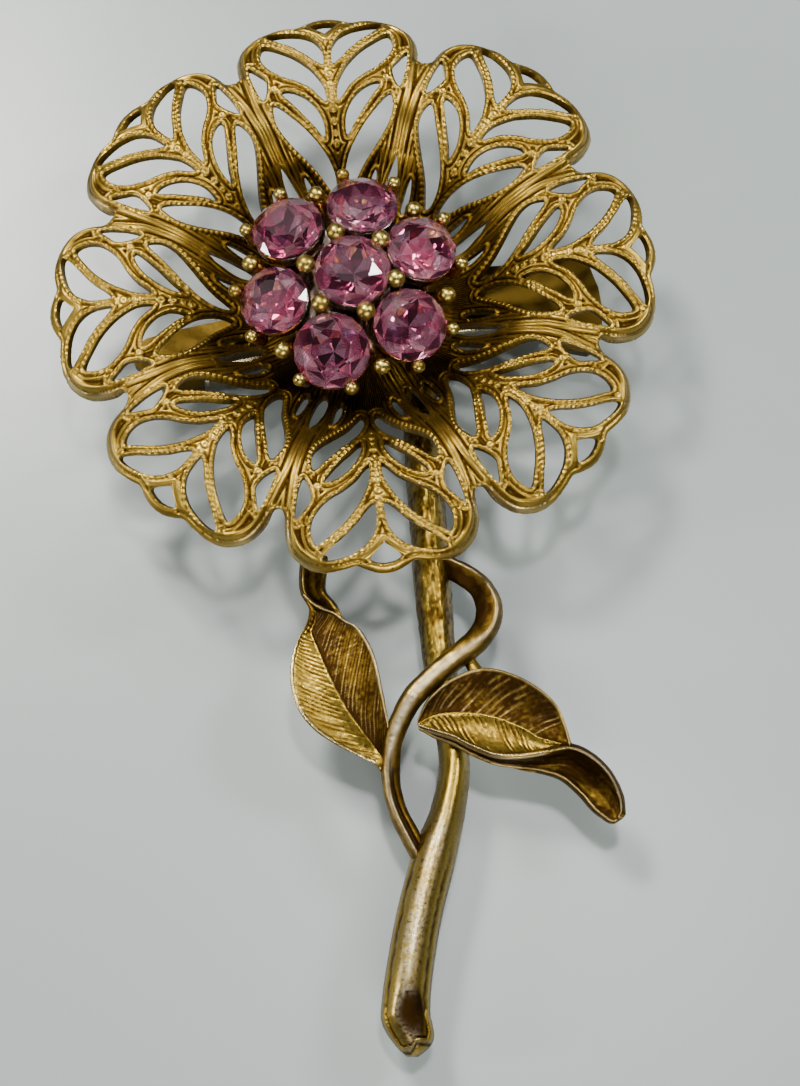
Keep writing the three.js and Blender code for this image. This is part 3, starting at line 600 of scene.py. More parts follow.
def flower():
    r = np.concatenate([np.linspace(1.2, 8.3, 14), np.arange(8.4, 26.0, 0.078)])
    cols = 105
    half = np.linspace(0, HALF_SECTOR, cols)
    rr, tt = np.meshgrid(r, half, indexing="ij")
    x, y = (rr * np.sin(tt)).ravel(), (rr * np.cos(tt)).ravel()
    fields = [np.asarray(q).reshape(len(r), cols) for q in petal_field(x, y)]
    fields = [np.hstack([q[:, :0:-1], q]) for q in fields]
    theta = np.concatenate([-half[:0:-1], half])
    f, relief, patina_and_shade, wear_and_highlight, roll = fields
    rr, tt = np.meshgrid(r, theta, indexing="ij")
    n_rows, n_cols = rr.shape
    f = np.where(np.abs(f) < 1e-4, 1e-4, f)

    xs, ys = rr * np.sin(tt), rr * np.cos(tt)
    corners = np.stack([xs, ys], -1).reshape(-1, 2)
    values = np.stack([f, relief, patina_and_shade, wear_and_highlight, roll], -1).reshape(-1, 5)
    index = np.arange(n_rows * n_cols).reshape(n_rows, n_cols)

    # cut points on the grid's edges
    extra_xy, extra_val = [], []
    count = n_rows * n_cols
    tables = []
    for di, dj in ((0, 1), (1, 0)):
        a = index[: n_rows - di, : n_cols - dj].ravel()
        b = index[di:, dj:].ravel()
        fa, fb = values[a, 0], values[b, 0]
        cross = (fa > 0) != (fb > 0)
        a, b, fa, fb = a[cross], b[cross], fa[cross], fb[cross]
        t = (fa / (fa - fb))[:, None]
        extra_xy.append(corners[a] * (1 - t) + corners[b] * t)
        extra_val.append(values[a] * (1 - t) + values[b] * t)
        lookup = np.full(n_rows * n_cols, -1)
        lookup[a] = count + np.arange(len(a))
        count += len(a)
        tables.append(lookup)
    across, down = tables
    xy = np.vstack([corners] + extra_xy)
    val = np.vstack([values] + extra_val)

    i, j = np.meshgrid(np.arange(n_rows - 1), np.arange(n_cols - 1), indexing="ij")
    c = [index[i, j].ravel(), index[i, j + 1].ravel(), index[i + 1, j + 1].ravel(), index[i + 1, j].ravel()]
    e = [across[c[0]], down[c[1]], across[c[3]], down[c[0]]]
    case = sum((values[c[k], 0] > 0).astype(int) << k for k in range(4))
    patterns = {
        15: [["c0", "c1", "c2", "c3"]],
        1: [["c0", "e0", "e3"]], 2: [["c1", "e1", "e0"]], 4: [["c2", "e2", "e1"]], 8: [["c3", "e3", "e2"]],
        3: [["c0", "c1", "e1", "e3"]], 6: [["c1", "c2", "e2", "e0"]],
        12: [["c2", "c3", "e3", "e1"]], 9: [["c3", "c0", "e0", "e2"]],
        7: [["c0", "c1", "c2", "e2", "e3"]], 14: [["c1", "c2", "c3", "e3", "e0"]],
        13: [["c2", "c3", "c0", "e0", "e1"]], 11: [["c3", "c0", "c1", "e1", "e2"]],
        5: [["c0", "e0", "e3"], ["c2", "e2", "e1"]], 10: [["c1", "e1", "e0"], ["c3", "e3", "e2"]],
    }
    faces = {}
    source = {"c": c, "e": e}
    for number, polygons in patterns.items():
        here = case == number
        if not here.any():
            continue
        for polygon in polygons:
            block = np.stack([source[q[0]][int(q[1])][here] for q in polygon], 1)
            faces.setdefault(len(polygon), []).append(block)
    faces = {k: np.vstack(v) for k, v in faces.items()}

    used = np.unique(np.concatenate([v.ravel() for v in faces.values()]))
    remap = np.full(len(xy), -1)
    remap[used] = np.arange(len(used))
    xy, val = xy[used], val[used]
    faces = {k: remap[v] for k, v in faces.items()}

    radius = np.hypot(xy[:, 0], xy[:, 1])
    line = spline(PROFILE, 12)

    def profile_z(at):
        return np.interp(at, line[:, 0], line[:, 1])

    z = profile_z(radius)
    slope = (profile_z(radius + 0.05) - profile_z(radius - 0.05)) / 0.1
    crown = 0.3 * (xy[:, 0] / 8) ** 2 * smoothstep(14, 20, xy[:, 1])
    length = np.sqrt(1 + slope ** 2)
    normal = np.stack([
        -slope * xy[:, 0] / radius / length, -slope * xy[:, 1] / radius / length, 1 / length,
    ], 1)
    surface = np.stack([xy[:, 0], xy[:, 1], z - crown - val[:, 4]], 1)
    height = val[:, 1] - 0.14
    top = surface + normal * height[:, None]
    low = surface - normal * SHEET

    n = len(xy)
    bottom = {k: v[:, ::-1] + n for k, v in faces.items()}
    directed = np.vstack([
        np.stack([v[:, a], v[:, (a + 1) % k]], 1) for k, v in faces.items() for a in range(k)
    ])
    key = directed[:, 0] * np.int64(n) + directed[:, 1]
    back = directed[:, 1] * np.int64(n) + directed[:, 0]
    border = directed[~np.isin(key, back)]
    angle = np.arctan2(xy[:, 0], xy[:, 1])
    seam = np.abs(np.abs(angle) - HALF_SECTOR) < 1e-7
    wall_edges = border[~(seam[border[:, 0]] & seam[border[:, 1]])]
    walls = np.stack([wall_edges[:, 1], wall_edges[:, 0], wall_edges[:, 0] + n, wall_edges[:, 1] + n], 1)
    all_faces = {k: np.vstack([faces[k], bottom[k]]) for k in faces}
    all_faces[4] = np.vstack([all_faces[4], walls])
    # polar order runs clockwise seen from the front, so turn every face over
    all_faces = {k: v[:, ::-1] for k, v in all_faces.items()}
    verts = np.vstack([top, low])
    sharp = np.vstack([wall_edges, wall_edges + n])
    base_patina_and_shade = np.concatenate([val[:, 2], np.full(n, 0.62)])
    base_wear = np.concatenate([val[:, 3], np.zeros(n)])
    for k in range(PETALS):
        turn = FLOWER_TURN - k * 2 * math.pi / PETALS
        ct, st = math.cos(turn), math.sin(turn)
        v = verts.copy()
        v[:, 0] = SPREAD * (ct * verts[:, 0] - st * verts[:, 1])
        v[:, 1] = SPREAD * (st * verts[:, 0] + ct * verts[:, 1])
        edge_free = np.concatenate([np.abs(np.abs(angle) - HALF_SECTOR)] * 2) * np.hypot(v[:, 0], v[:, 1])
        calm = smoothstep(0.0, 1.5, edge_free)
        v[:, 2] += 0.05 * value_noise(v, 2.2, 3) * calm
        lift = value_noise(v, 0.9, 11)
        make(
            f"petal_{k + 1}", v, all_faces, GOLD, replaces=["filigree_flower"], sharp=sharp,
            attributes={
                "patina_and_shade": np.clip(base_patina_and_shade + 0.12 * lift, 0, 1),
                "wear_and_highlight": np.clip(base_wear * (0.7 + 0.5 * lift), 0, 1),
            },
        )


flower()


# ------------------------------------------------------------------ stones and setting

STONE_R, TABLE_R, CROWN_H, GIRDLE, PAVILION = 3.05, 1.62, 1.05, 0.07, 2.5
SIDES = 16
# The lower facets meet at this radius, and the pavilion's slope takes it from the girdle to its point.
LOW_R = 1.15
PAV = (PAVILION - GIRDLE) / STONE_R
RING_R, RING_Z, CENTRE_Z = 6.7, 1.0, 2.1
RING_TILT = math.radians(16)
# For the middle stone, then the ring clockwise from the top: how far it sits from its even place, its
# size and its turn in its cup in degrees.
SHIFTS = [
    (0.05, -0.3), (-0.42, -0.22), (-0.45, 0.0), (-0.25, -0.5), (-0.5, -0.55), (-0.3, -0.25), (-0.5, -0.1),
]
SIZES = [1.06, 1.01, 1.0, 1.03, 1.06, 0.98, 1.02]
SPINS = [9, 11, 37, 5, 24, 40, 16]


def cup_frame(i):
    """The frame of a stone's cup: -1 is the middle one, 0 to 5 are the ring."""
    sx, sy = SHIFTS[i + 1]
    off = Matrix.Translation((sx, sy, 0))
    if i < 0:
        return off @ Matrix.Translation((0, 0, CENTRE_Z))
    return (
        off @ Matrix.Rotation(math.radians(80 - 60 * i), 4, "Z")
        @ Matrix.Translation((RING_R, 0, RING_Z)) @ Matrix.Rotation(RING_TILT, 4, "Y")
    )


def seat(i):
    spin = Matrix.Rotation(math.radians(SPINS[i + 1]), 4, "Z")
    return cup_frame(i) @ spin @ Matrix.Scale(SIZES[i + 1], 4)


def polar(r, degrees, z):
    a = math.radians(degrees)
    return (r * math.cos(a), r * math.sin(a), z)


def chaton(seed):
    """A round stone with a table, stars, kites and girdle facets above and its pavilion below, and how
    light each facet is painted, as a painted reflection."""
    verts, faces, glint = [], [], []

    def put(p):
        verts.append(p)
        return len(verts) - 1

    steep = (CROWN_H - GIRDLE) / (STONE_R - TABLE_R)
    mid_r = 2.42
    mid_z = CROWN_H - (mid_r * math.cos(math.pi / 8) - TABLE_R) * steep
    low_z = -GIRDLE - (STONE_R - LOW_R * math.cos(math.pi / 8)) * PAV
    table = [put(polar(TABLE_R, 45 * i, CROWN_H)) for i in range(8)]
    mids = [put(polar(mid_r, 45 * i + 22.5, mid_z)) for i in range(8)]
    upper = [put(polar(STONE_R, 22.5 * i, GIRDLE)) for i in range(SIDES)]
    lower = [put(polar(STONE_R, 22.5 * i, -GIRDLE)) for i in range(SIDES)]
    lows = [put(polar(LOW_R, 45 * i + 22.5, low_z)) for i in range(8)]
    culet = put((0, 0, -PAVILION))
    faces.append(table)
    glint.append((0.1, 0.13, 0.42, 0.1, 0.08, 0.12, 0.2)[seed])
    for i in range(8):
        j, h, g, r = (i + 1) % 8, (i - 1) % 8, 2 * i, i + 3 * seed
        faces.append([table[i], mids[i], table[j]])
        faces.append([table[i], mids[h], upper[g], mids[i]])
        glint += [(0.9, 0.3, 0.0, 0.65, 0.12, 0.8)[r % 6], (0.55, 0.95, 0.35, 0.85, 0.18)[r % 5]]
        for k in range(2):
            faces.append([mids[i], upper[g + k], upper[(g + k + 1) % SIDES]])
            faces.append([lows[i], lower[(g + k + 1) % SIDES], lower[g + k]])
            glint += [(0.9, 0.25, 0.6, 0.1, 0.8, 0.4, 1.0)[(2 * r + k) % 7], 0.6]
        faces.append([culet, lows[i], lower[g], lows[h]])
        glint.append(0.6)
    for g in range(SIDES):
        faces.append([lower[g], lower[(g + 1) % SIDES], upper[(g + 1) % SIDES], upper[g]])
        glint.append(0.4)
    return np.array(verts), faces, glint


def foil_shell(seed):
    """The mirror on the back of a stone, in the glass: uneven facets with a thin wall, and a glint
    for each facet."""
    verts, faces, glint = [], [], []
    # painted glint levels for the foil facets, as painted reflections
    painted_light_levels = (0.85, 0.3, 0.65, 0.12, 1.0, 0.45, 0.75, 0.2, 0.55)
    radii, count = (2.3, 1.3), 8
    for scale in (0.985, 0.95):
        start = len(verts)
        verts += [polar(STONE_R * scale, 22.5 * i, -GIRDLE - 0.03) for i in range(SIDES)]
        for k, r in enumerate(radii):
            for i in range(count):
                near = r + 0.3 * lattice(i, seed, k, 1) - 0.15
                turn = 45 * i + 22.5 * (1 - k) + 9 * (lattice(i, seed, k, 4) - 0.5)
                deep = -GIRDLE - (STONE_R - near) * PAV * (0.94 + 0.06 * lattice(i, seed, k, 2))
                verts.append(tuple(scale * c for c in polar(near, turn, deep)))
        verts.append(tuple(scale * c for c in (0.12 * (lattice(seed, 1, 1, 3) - 0.5), 0.1, -PAVILION)))
        a, b, culet = start + SIDES, start + SIDES + count, start + SIDES + 2 * count
        for i in range(count):
            j, g = (i + 1) % count, 2 * i
            block = [
                [a + i, start + g + 1, start + g], [a + i, start + (g + 2) % SIDES, start + g + 1],
                [a + i, a + j, start + (g + 2) % SIDES],
                [b + i, a + i, a + (i - 1) % count][::-1], [b + i, b + j, a + i], [culet, b + j, b + i],
            ]
            faces += block if scale > 0.96 else [f[::-1] for f in block]
            for k in range(6):
                tone = painted_light_levels[(k * 4 + 3 * i + 2 * seed) % 9]
                glint.append(min(1.0, tone + 0.2 * lattice(i, seed, k, 5)))
    step = SIDES + 2 * count + 1
    for i in range(SIDES):
        j = (i + 1) % SIDES
        faces.append([i, step + i, step + j, j])
        glint.append(0.5)
    return np.array(verts), faces, glint


def sized(faces, values):
    """Faces grouped by their number of corners, and their values in the same order."""
    out, order = {}, {}
    for i, f in enumerate(faces):
        out.setdefault(len(f), []).append(f)
        order.setdefault(len(f), []).append(i)
    grouped = {k: np.array(v) for k, v in out.items()}
    return grouped, [values[i] for k in grouped for i in order[k]]


for i in range(-1, 6):
    gem_v, gem_f, gem_glint = chaton(i + 1)
    gem_f, gem_glint = sized(gem_f, gem_glint)
    node = "stone_centre" if i < 0 else f"stone_ring_{i + 1}"
    v, f = moved((gem_v, gem_f), seat(i))
    make(f"{node}_cut", v, f, GLASS, replaces=[node], smooth=False,
         by_face={"glint": gem_glint})
    foil_v, foil_f, glint = foil_shell(i + 2)
    groups, glint = sized(foil_f, glint)
    v, f = moved((foil_v, groups), seat(i))
    make(f"{node}_foil", v, f, FOIL, smooth=False, by_face={"glint": glint})


BALL_SIDES, ROD_SIDES, ROD_ROWS = 24, 12, 8


def ball(centre, radius, squash):
    profile = [(0, -radius * squash)] + [
        (radius * math.cos(a), radius * squash * math.sin(a))
        for a in np.linspace(-math.pi / 2, math.pi / 2, 14)[1:-1]
    ] + [(0, radius * squash)]
    v, f = turned(profile, BALL_SIDES)
    return v + np.array(centre), f


def rod(a, b, ra, rb):
    a, b = np.array(a, float), np.array(b, float)
    d = (b - a) / np.linalg.norm(b - a)
    u = np.cross(d, [0, 0, 1] if abs(d[2]) < 0.9 else [1, 0, 0])
    u /= np.linalg.norm(u)
    w = np.cross(d, u)
    t = np.arange(ROD_SIDES) * 2 * math.pi / ROD_SIDES
    rings = []
    for q in np.linspace(0, 1, ROD_ROWS):
        r = ra + (rb - ra) * q
        rings.append(a + (b - a) * q + r * (np.outer(np.cos(t), u) + np.outer(np.sin(t), w)))
    return ring_loft(rings)


def setting():
    cups, beads = [], []
    dish = rounded([
        (0, -5.6), (3.2, -5.6), (3.15, -4.6), (6.4, -2.7), (6.4, -1.9), (5.6, -1.7), (0, -1.7),
    ], 0.3)
    cups.append(turned(dish, 72))
    wall = rounded([
        (0.5, -3.4), (1.5, -3.2), (2.6, -1.9), (3.0, -1.2), (3.0, -0.6), (2.96, -0.42),
        (2.86, -0.4), (2.74, -0.6), (2.2, -1.3), (1.4, -2.6), (0.5, -2.95), (0.5, -3.4),
    ], 0.1, 3)[:-1]
    for i in range(-1, 6):
        cups.append(moved(turned(wall, 72, closed=True), seat(i)))
    for i in range(6):
        a = math.radians(110 - 60 * i)
        c, s = math.cos(a), math.sin(a)
        # one prong between the middle stone and two ring stones, and one that leans out past the ring
        x, y = 3.87 * c - 0.12, 3.87 * s - 0.3
        beads.append(ball((x, y, 1.95), 0.8, 0.9))
        cups.append(rod((x, y, -2.4), (x, y, 1.7), 0.62, 0.5))
        dx, dy = -0.35, -0.35
        beads.append(ball((8.5 * c + dx, 8.5 * s + dy, 0.45), 0.72, 0.92))
        cups.append(rod((5.9 * c, 5.9 * s, -2.8), (8.3 * c + dx, 8.3 * s + dy, 0.2), 0.9, 0.5))
        base = cup_frame(i)
        for side in (-38, 38):
            b = math.radians(side)
            top = base @ Vector((3.62 * math.cos(b), 3.62 * math.sin(b), 0.2))
            foot = base @ Vector((3.2 * math.cos(b), 3.2 * math.sin(b), -1.5))
            beads.append(ball(top, 0.56, 0.95))
            cups.append(rod(foot, top, 0.75, 0.42))
    v, f = merged(cups)
    shade = 0.2 + 0.3 * smoothstep(0.5, -3.5, v[:, 2]) + 0.2 * value_noise(v, 0.8, 5)
    silver = smoothstep(7.0, 5.6, np.hypot(v[:, 0], v[:, 1])) * np.clip(0.75 + value_noise(v, 0.5, 6), 0, 1)
    make("setting_cups", v, f, SHADED_CUP_GOLD, replaces=["prong_setting"],
         attributes={"patina_and_shade": np.clip(shade, 0, 1), "wear_and_highlight": silver})
    v, f = merged(beads)
    dimple = 0.25 + 0.6 * np.clip(value_noise(v, 0.4, 9), 0, 1)
    make("setting_prongs", v, f, PALE, replaces=["prong_setting"],
         attributes={"patina_and_shade": np.clip(dimple, 0, 1), "wear_and_highlight": np.zeros(len(v))})


setting()


# ------------------------------------------------------------------ stem, tendril, leaves

# Centre X, centre Y, width, front height and back height down the stem.
STEM = [
    (5.25, 3.1, 3.0, -7.5, -8.7), (5.45, -2.0, 3.0, -7.5, -8.7), (5.5, -2.9, 3.0, -6.95, -8.7),
    (5.65, -8.2, 3.0, -6.8, -8.75), (5.75, -10.4, 3.1, -6.2, -9.0), (5.9, -13.5, 3.1, -5.6, -9.0),
    (6.27, -17.9, 3.2, -5.5, -9.0), (6.75, -24.5, 3.2, -5.6, -9.0), (7.33, -31.5, 2.8, -6.1, -9.0),
    (8.1, -36.5, 2.6, -6.3, -9.0), (8.55, -40.4, 2.6, -5.9, -9.0), (8.0, -44.2, 2.9, -5.5, -9.0),
    (6.9, -47.9, 3.6, -5.4, -9.0), (5.7, -52.6, 3.7, -5.4, -9.0), (4.9, -57.3, 3.8, -5.5, -9.0),
    (4.62, -60.3, 3.97, -5.8, -9.0), (4.77, -61.3, 4.05, -6.0, -9.0), (5.03, -62.1, 3.78, -6.3, -9.0),
    (5.2, -62.8, 3.1, -6.7, -9.0), (5.21, -63.35, 2.12, -7.2, -9.0), (5.19, -63.8, 0.95, -7.9, -9.0),
]


def stem():
    line = spline(STEM, 26)
    n = len(line)
    along = np.gradient(line[:, :2], axis=0)
    along /= np.linalg.norm(along, axis=1)[:, None]
    across = np.stack([-along[:, 1], along[:, 0]], 1)
    square = smoothstep(-57.5, -60.0, line[:, 1])[:, None]
    across = across * (1 - square) + np.array([[1.0, 0.0]]) * square
    m_top, m_back = 49, 8
    u = np.concatenate([np.linspace(-1, 1, m_top), np.linspace(0.92, -0.92, m_back)])
    top = np.concatenate([np.ones(m_top, bool), np.zeros(m_back, bool)])
    end = line[-1, 1]
    rings, patina_and_shade, wear_and_highlight = [], [], []
    for i in range(n):
        x, y, w, front, back = line[i]
        h = front - back
        flat = smoothstep(-2.0, -3.0, y) if y < -1.5 else 0.0
        dome = np.clip(1 - np.abs(u) ** 2.3, 0, 1) ** 0.62
        box = np.clip(1 - np.abs(u) ** 14, 0, 1) ** 0.5
        shape = np.where(top, 0.18 + 0.82 * (flat * dome + (1 - flat) * box), 0.0)
        # distance to the outline, for the thin raised line that runs round the lower stem
        off = u * w / 2
        margin = (1 - np.abs(u)) * w / 2
        lip_y = end + 0.45 + 0.62 * smoothstep(0.0, 0.5, off + 0.15)
        e = np.minimum(margin, y - lip_y + 0.24)
        lower = smoothstep(-45.5, -50, y)
        lip = smoothstep(-59.5, -61.5, y)
        spots = np.stack([off, np.full(len(u), y), np.zeros(len(u))], 1)
        ragged = e + 0.07 * value_noise(spots, 0.9, 27) + 0.045 * value_noise(spots, 0.32, 28)
        line_up = (0.12 + 0.12 * lip) * np.clip(
            1 - ((ragged - 0.22 - 0.04 * lip) / (0.16 + 0.06 * lip)) ** 2, 0, 1) ** 0.6
        line_down = 0.12 * np.exp(-((ragged - 0.52) / 0.1) ** 2)
        under = np.exp(-((y - lip_y + 0.24) / 0.13) ** 2) * (margin > 0.1)
        oval = np.exp(-(((y + 60.5) / 1.75) ** 2 + ((u - 0.16) / 0.5) ** 2) ** 3)
        below = np.exp(-(((y + 62.0) / 1.0) ** 2 + ((off - 0.1) / 1.0) ** 2)) * (e > 0.4)
        edge_line = (line_up - line_down) * lower * top
        z = back + h * shape + np.where(top, edge_line - 0.18 * oval - 0.16 * under, 0)
        rings.append(np.stack([x + across[i, 0] * u * w / 2, y + across[i, 1] * u * w / 2, z], 1))
        gutter = lower * (line_down / 0.12) * (0.7 + 0.45 * value_noise(spots, 0.5, 29))
        gutter = gutter + 0.4 * lower * (margin < 0.1)
        # patina in the gutters; painted shade in the groove under the lip and below the oval; the shallow
        # oval hollow painted nearly black
        patina_and_shade.append(np.where(top, 0.2 + 0.8 * gutter + 2.4 * oval + 0.75 * under + 0.6 * below, 0.5))
        # the pale band down the lower stem: worn plating with a painted highlight along its crest
        bright = 0.8 * np.clip(1 - np.abs(u + 0.04) ** 1.6 * 2.6, 0, 1)
        wear_and_highlight.append(np.where(top, bright * smoothstep(-43, -48, y) * (1 - oval) * (1 - 0.7 * lip), 0))
    v = np.array(rings).reshape(-1, 3)
    patina_and_shade, wear_and_highlight = np.array(patina_and_shade).ravel(), np.array(wear_and_highlight).ravel()
    tops = np.tile(top, n)
    bark = smoothstep(-41.0, -37.0, v[:, 1]) * tops
    coarse = value_noise(v * [1, 0.55, 1], 0.42, 21)
    fine = value_noise(v, 0.2, 22)
    broad = value_noise(v * [1, 0.35, 1], 1.1, 25)
    lumps = 0.045 * coarse + 0.05 * fine + 0.04 * broad
    v[:, 2] += bark * lumps
    v[:, 0] += 0.04 * bark * value_noise(v, 0.5, 23)
    v[:, 2] += 0.02 * (1 - bark) * tops * value_noise(v * [1, 0.4, 1], 1.5, 24)
    pits = np.clip(0.22 - 0.6 * coarse - 0.6 * fine, 0, 1) * 0.7
    wear_and_highlight = wear_and_highlight * np.clip(0.75 + 1.1 * value_noise(v, 0.16, 26), 0, 1)
    u_all = np.tile(u, n)
    # painted shade along both edges of the rough upper stem
    edge_shade = smoothstep(0.6, 1.0, np.abs(u_all)) * 0.2
    patina_and_shade = np.clip(patina_and_shade + bark * (pits + edge_shade), 0, 1)
    verts, faces = ring_loft(v.reshape(n, -1, 3))
    make("stem_cast", verts, faces, CAST, replaces=["stem"], attributes={
        "patina_and_shade": np.concatenate([patina_and_shade, [0.5, 0.5]]), "wear_and_highlight": np.concatenate([wear_and_highlight, [0, 0]]),
    })


stem()

# Tendril centre line: X, Y, Z, width and depth.
TENDRIL = [
    (6.2, -22.5, -7.5, 1.6, 1.5), (7.7, -23.3, -7.1, 1.8, 1.8),
    (9.6, -24.5, -6.6, 1.95, 2.0), (10.8, -25.7, -6.1, 2.05, 2.2),
    (11.4, -27.1, -5.7, 2.2, 2.3), (11.45, -28.3, -5.5, 2.25, 2.3), (11.0, -29.6, -5.3, 2.15, 2.2),
    (9.9, -31.0, -5.1, 2.1, 2.1), (8.1, -32.5, -5.0, 1.95, 2.0), (6.5, -33.9, -5.0, 1.9, 2.0),
    (5.2, -35.3, -5.1, 1.9, 2.0), (4.3, -36.8, -5.4, 1.75, 2.0), (3.6, -38.6, -5.8, 1.65, 2.0),
    (3.35, -40.6, -6.1, 1.55, 2.0), (3.45, -42.7, -6.5, 1.5, 2.0), (4.0, -44.6, -6.8, 1.55, 2.0),
    (4.9, -46.4, -7.0, 1.65, 1.9), (5.8, -48.0, -7.2, 1.6, 1.7), (6.6, -49.5, -7.5, 1.1, 1.2),
]


def tendril():
    line = spline(TENDRIL, 20)
    along = np.gradient(line[:, :3], axis=0)
    along /= np.linalg.norm(along, axis=1)[:, None]
    side = np.cross([0, 0, 1], along)
    side /= np.linalg.norm(side, axis=1)[:, None]
    m = 33
    u_top = np.sin(np.linspace(-1, 1, m) * math.pi / 2)
    u_low = np.sin(np.linspace(0.9, -0.9, 13) * math.pi / 2)
    rings, patina_and_shade, wear_and_highlight = [], [], []
    for i, (x, y, z, w, d) in enumerate(line):
        q = i / len(line)
        # the ridge lies on the outer side of the upper loop and on the left of the lower one
        k = 1 - float(smoothstep(0.3, 0.45, q)) - 0.6 * float(smoothstep(0.66, 0.78, q))
        lower = float(smoothstep(0.68, 0.8, q))
        crest = 0.5 * k
        fall = np.clip((crest - u_top) * (1 if k >= 0 else -1), 0, None)
        cap = np.clip(1 - np.abs(u_top) ** 3.2, 0, 1) ** 0.5
        top = cap * (1 - (0.62 * abs(k)) * np.clip(fall / 1.4, 0, 1) ** 0.8)
        dip = 0.3 * lower * np.exp(-((u_top - 0.12) / 0.2) ** 2)
        top = top - dip
        low = -0.9 * np.sqrt(np.clip(1 - u_low ** 2, 0, 1))
        us = np.concatenate([u_top, u_low])
        vs = np.concatenate([top, low])
        rings.append(
            np.array([x, y, z]) + np.outer(us * w / 2, side[i]) + np.outer(vs * d / 2, [0, 0, 1])
        )
        # the side that falls away from the ridge is painted darker as shade, the groove of the lower loop
        # darker still
        fall_shade = 0.5 + 0.5 * np.clip(fall / 0.8, 0, 1) * abs(k) * (1 - 0.4 * lower) + 2.4 * dip
        patina_and_shade.append(np.concatenate([fall_shade, np.full(13, 0.6)]))
        # pale wear with a painted highlight along the crest, strongest at the crossing in the middle
        pale_wear_and_highlight = 0.9 * np.exp(-((u_top - crest - 0.1 * k) / (0.16 + 0.2 * (1 - abs(k)))) ** 2)
        middle = np.exp(-((q - 0.58) / 0.14) ** 2)
        wear_and_highlight.append(np.concatenate([pale_wear_and_highlight * (0.35 + 0.65 * middle), np.zeros(13)]))
    v = np.array(rings).reshape(-1, 3)
    patina_and_shade = np.array(patina_and_shade).ravel() + 0.18 * value_noise(v, 0.6, 34)
    v += 0.03 * np.stack([value_noise(v, 0.8, k) for k in (31, 32, 33)], 1)
    v[:, 2] += 0.018 * value_noise(v, 0.3, 35)
    verts, faces = ring_loft(v.reshape(len(line), -1, 3))
    webs = []
    for (ax, ay, az), (bx, by, bz), w in (
        ((9.3, -31.3, -5.5), (10.55, -33.5, -5.1), 1.25), ((3.5, -40.0, -6.3), (2.2, -40.8, -6.1), 1.2),
    ):
        steps = np.linspace(0, 1, 9)[:, None]
        mid = np.array([[ax, ay, az]]) * (1 - steps) + np.array([[bx, by, bz]]) * steps
        d = np.array([bx - ax, by - ay, 0.0])
        d /= np.linalg.norm(d)
        s_dir = np.array([-d[1], d[0], 0])
        t = np.arange(16) * math.pi / 8
        web = []
        for j, c in enumerate(mid):
            r = w / 2 * (0.85 + 0.3 * abs(j / 4 - 1) ** 2)
            web.append(c + r * np.outer(np.cos(t), s_dir) + 0.42 * np.outer(np.sin(t), [0, 0, 1]))
        webs.append(ring_loft(web))
    n = len(verts)
    allv, allf = merged([(verts, faces)] + webs)
    more = len(allv) - n
    make("tendril_cast", allv, allf, CAST, replaces=["tendril"], attributes={
        "patina_and_shade": np.clip(np.concatenate([patina_and_shade, [0.5, 0.5], np.full(more, 0.35)]), 0, 1),
        "wear_and_highlight": np.clip(np.concatenate([np.array(wear_and_highlight).ravel(), [0, 0], np.zeros(more)]), 0, 1),
    })


tendril()

# Leaf surfaces as rows from base to tip: left or upper edge, midrib, right or lower edge.
LEFT_LEAF = [
    [(2.45, -40.9, -5.9), (2.8, -40.3, -6.0), (3.2, -39.5, -5.9)],
    [(0.9, -40.3, -5.4), (2.0, -39.4, -5.3), (3.25, -37.9, -5.1)],
    [(-1.2, -39.25, -5.0), (0.85, -37.9, -5.0), (2.95, -36.2, -4.8)],
    [(-3.0, -38.0, -4.8), (-0.3, -36.3, -4.8), (2.6, -34.5, -4.6)],
    [(-4.3, -36.3, -4.7), (-1.2, -34.6, -4.7), (2.2, -32.7, -4.5)],
    [(-4.9, -34.2, -4.7), (-2.0, -32.9, -4.75), (1.6, -31.0, -4.5)],
    [(-4.85, -32.2, -4.8), (-2.7, -31.2, -4.9), (0.6, -29.5, -4.6)],
    [(-4.4, -30.5, -5.0), (-3.25, -29.8, -5.15), (-0.3, -28.95, -4.85)],
    [(-3.82, -29.3, -5.2), (-3.05, -28.95, -5.25), (-1.25, -28.2, -4.95)],
    [(-3.55, -28.3, -5.36), (-2.95, -28.1, -5.36), (-2.2, -27.75, -5.12)],
    [(-3.55, -27.6, -5.48), (-3.25, -27.5, -5.48), (-2.9, -27.42, -5.3)],
    [(-3.82, -26.9, -5.62), (-3.72, -26.85, -5.62), (-3.45, -26.85, -5.5)],
    [(-4.1, -26.2, -5.85), (-4.08, -26.15, -5.85), (-4.0, -26.1, -5.8)],
]
# The back of the left leaf's neck, seen over the lip: lip, hollow, outer edge, from the blade upwards.
LEFT_FOLD = [
    [(-0.6, -29.0, -5.5), (-0.56, -28.95, -5.55), (-0.52, -28.9, -5.5)],
    [(-1.3, -28.3, -5.25), (-1.2, -28.1, -5.5), (-0.98, -27.95, -5.45)],
    [(-2.3, -27.8, -5.3), (-2.0, -27.4, -5.8), (-1.6, -27.05, -5.5)],
    [(-3.0, -27.4, -5.4), (-2.55, -26.9, -6.1), (-2.05, -26.45, -5.75)],
    [(-3.55, -26.9, -5.55), (-3.0, -26.4, -6.3), (-2.35, -25.9, -5.95)],
    [(-3.98, -26.25, -5.75), (-3.3, -25.85, -6.5), (-2.45, -25.3, -6.15)],
    [(-4.2, -25.4, -6.0), (-3.4, -25.2, -6.7), (-2.4, -24.9, -6.3)],
    [(-4.25, -24.2, -6.2), (-3.4, -24.1, -6.9), (-2.3, -24.0, -6.5)],
    [(-4.2, -22.6, -6.5), (-3.3, -22.6, -7.1), (-2.2, -22.6, -6.8)],
]
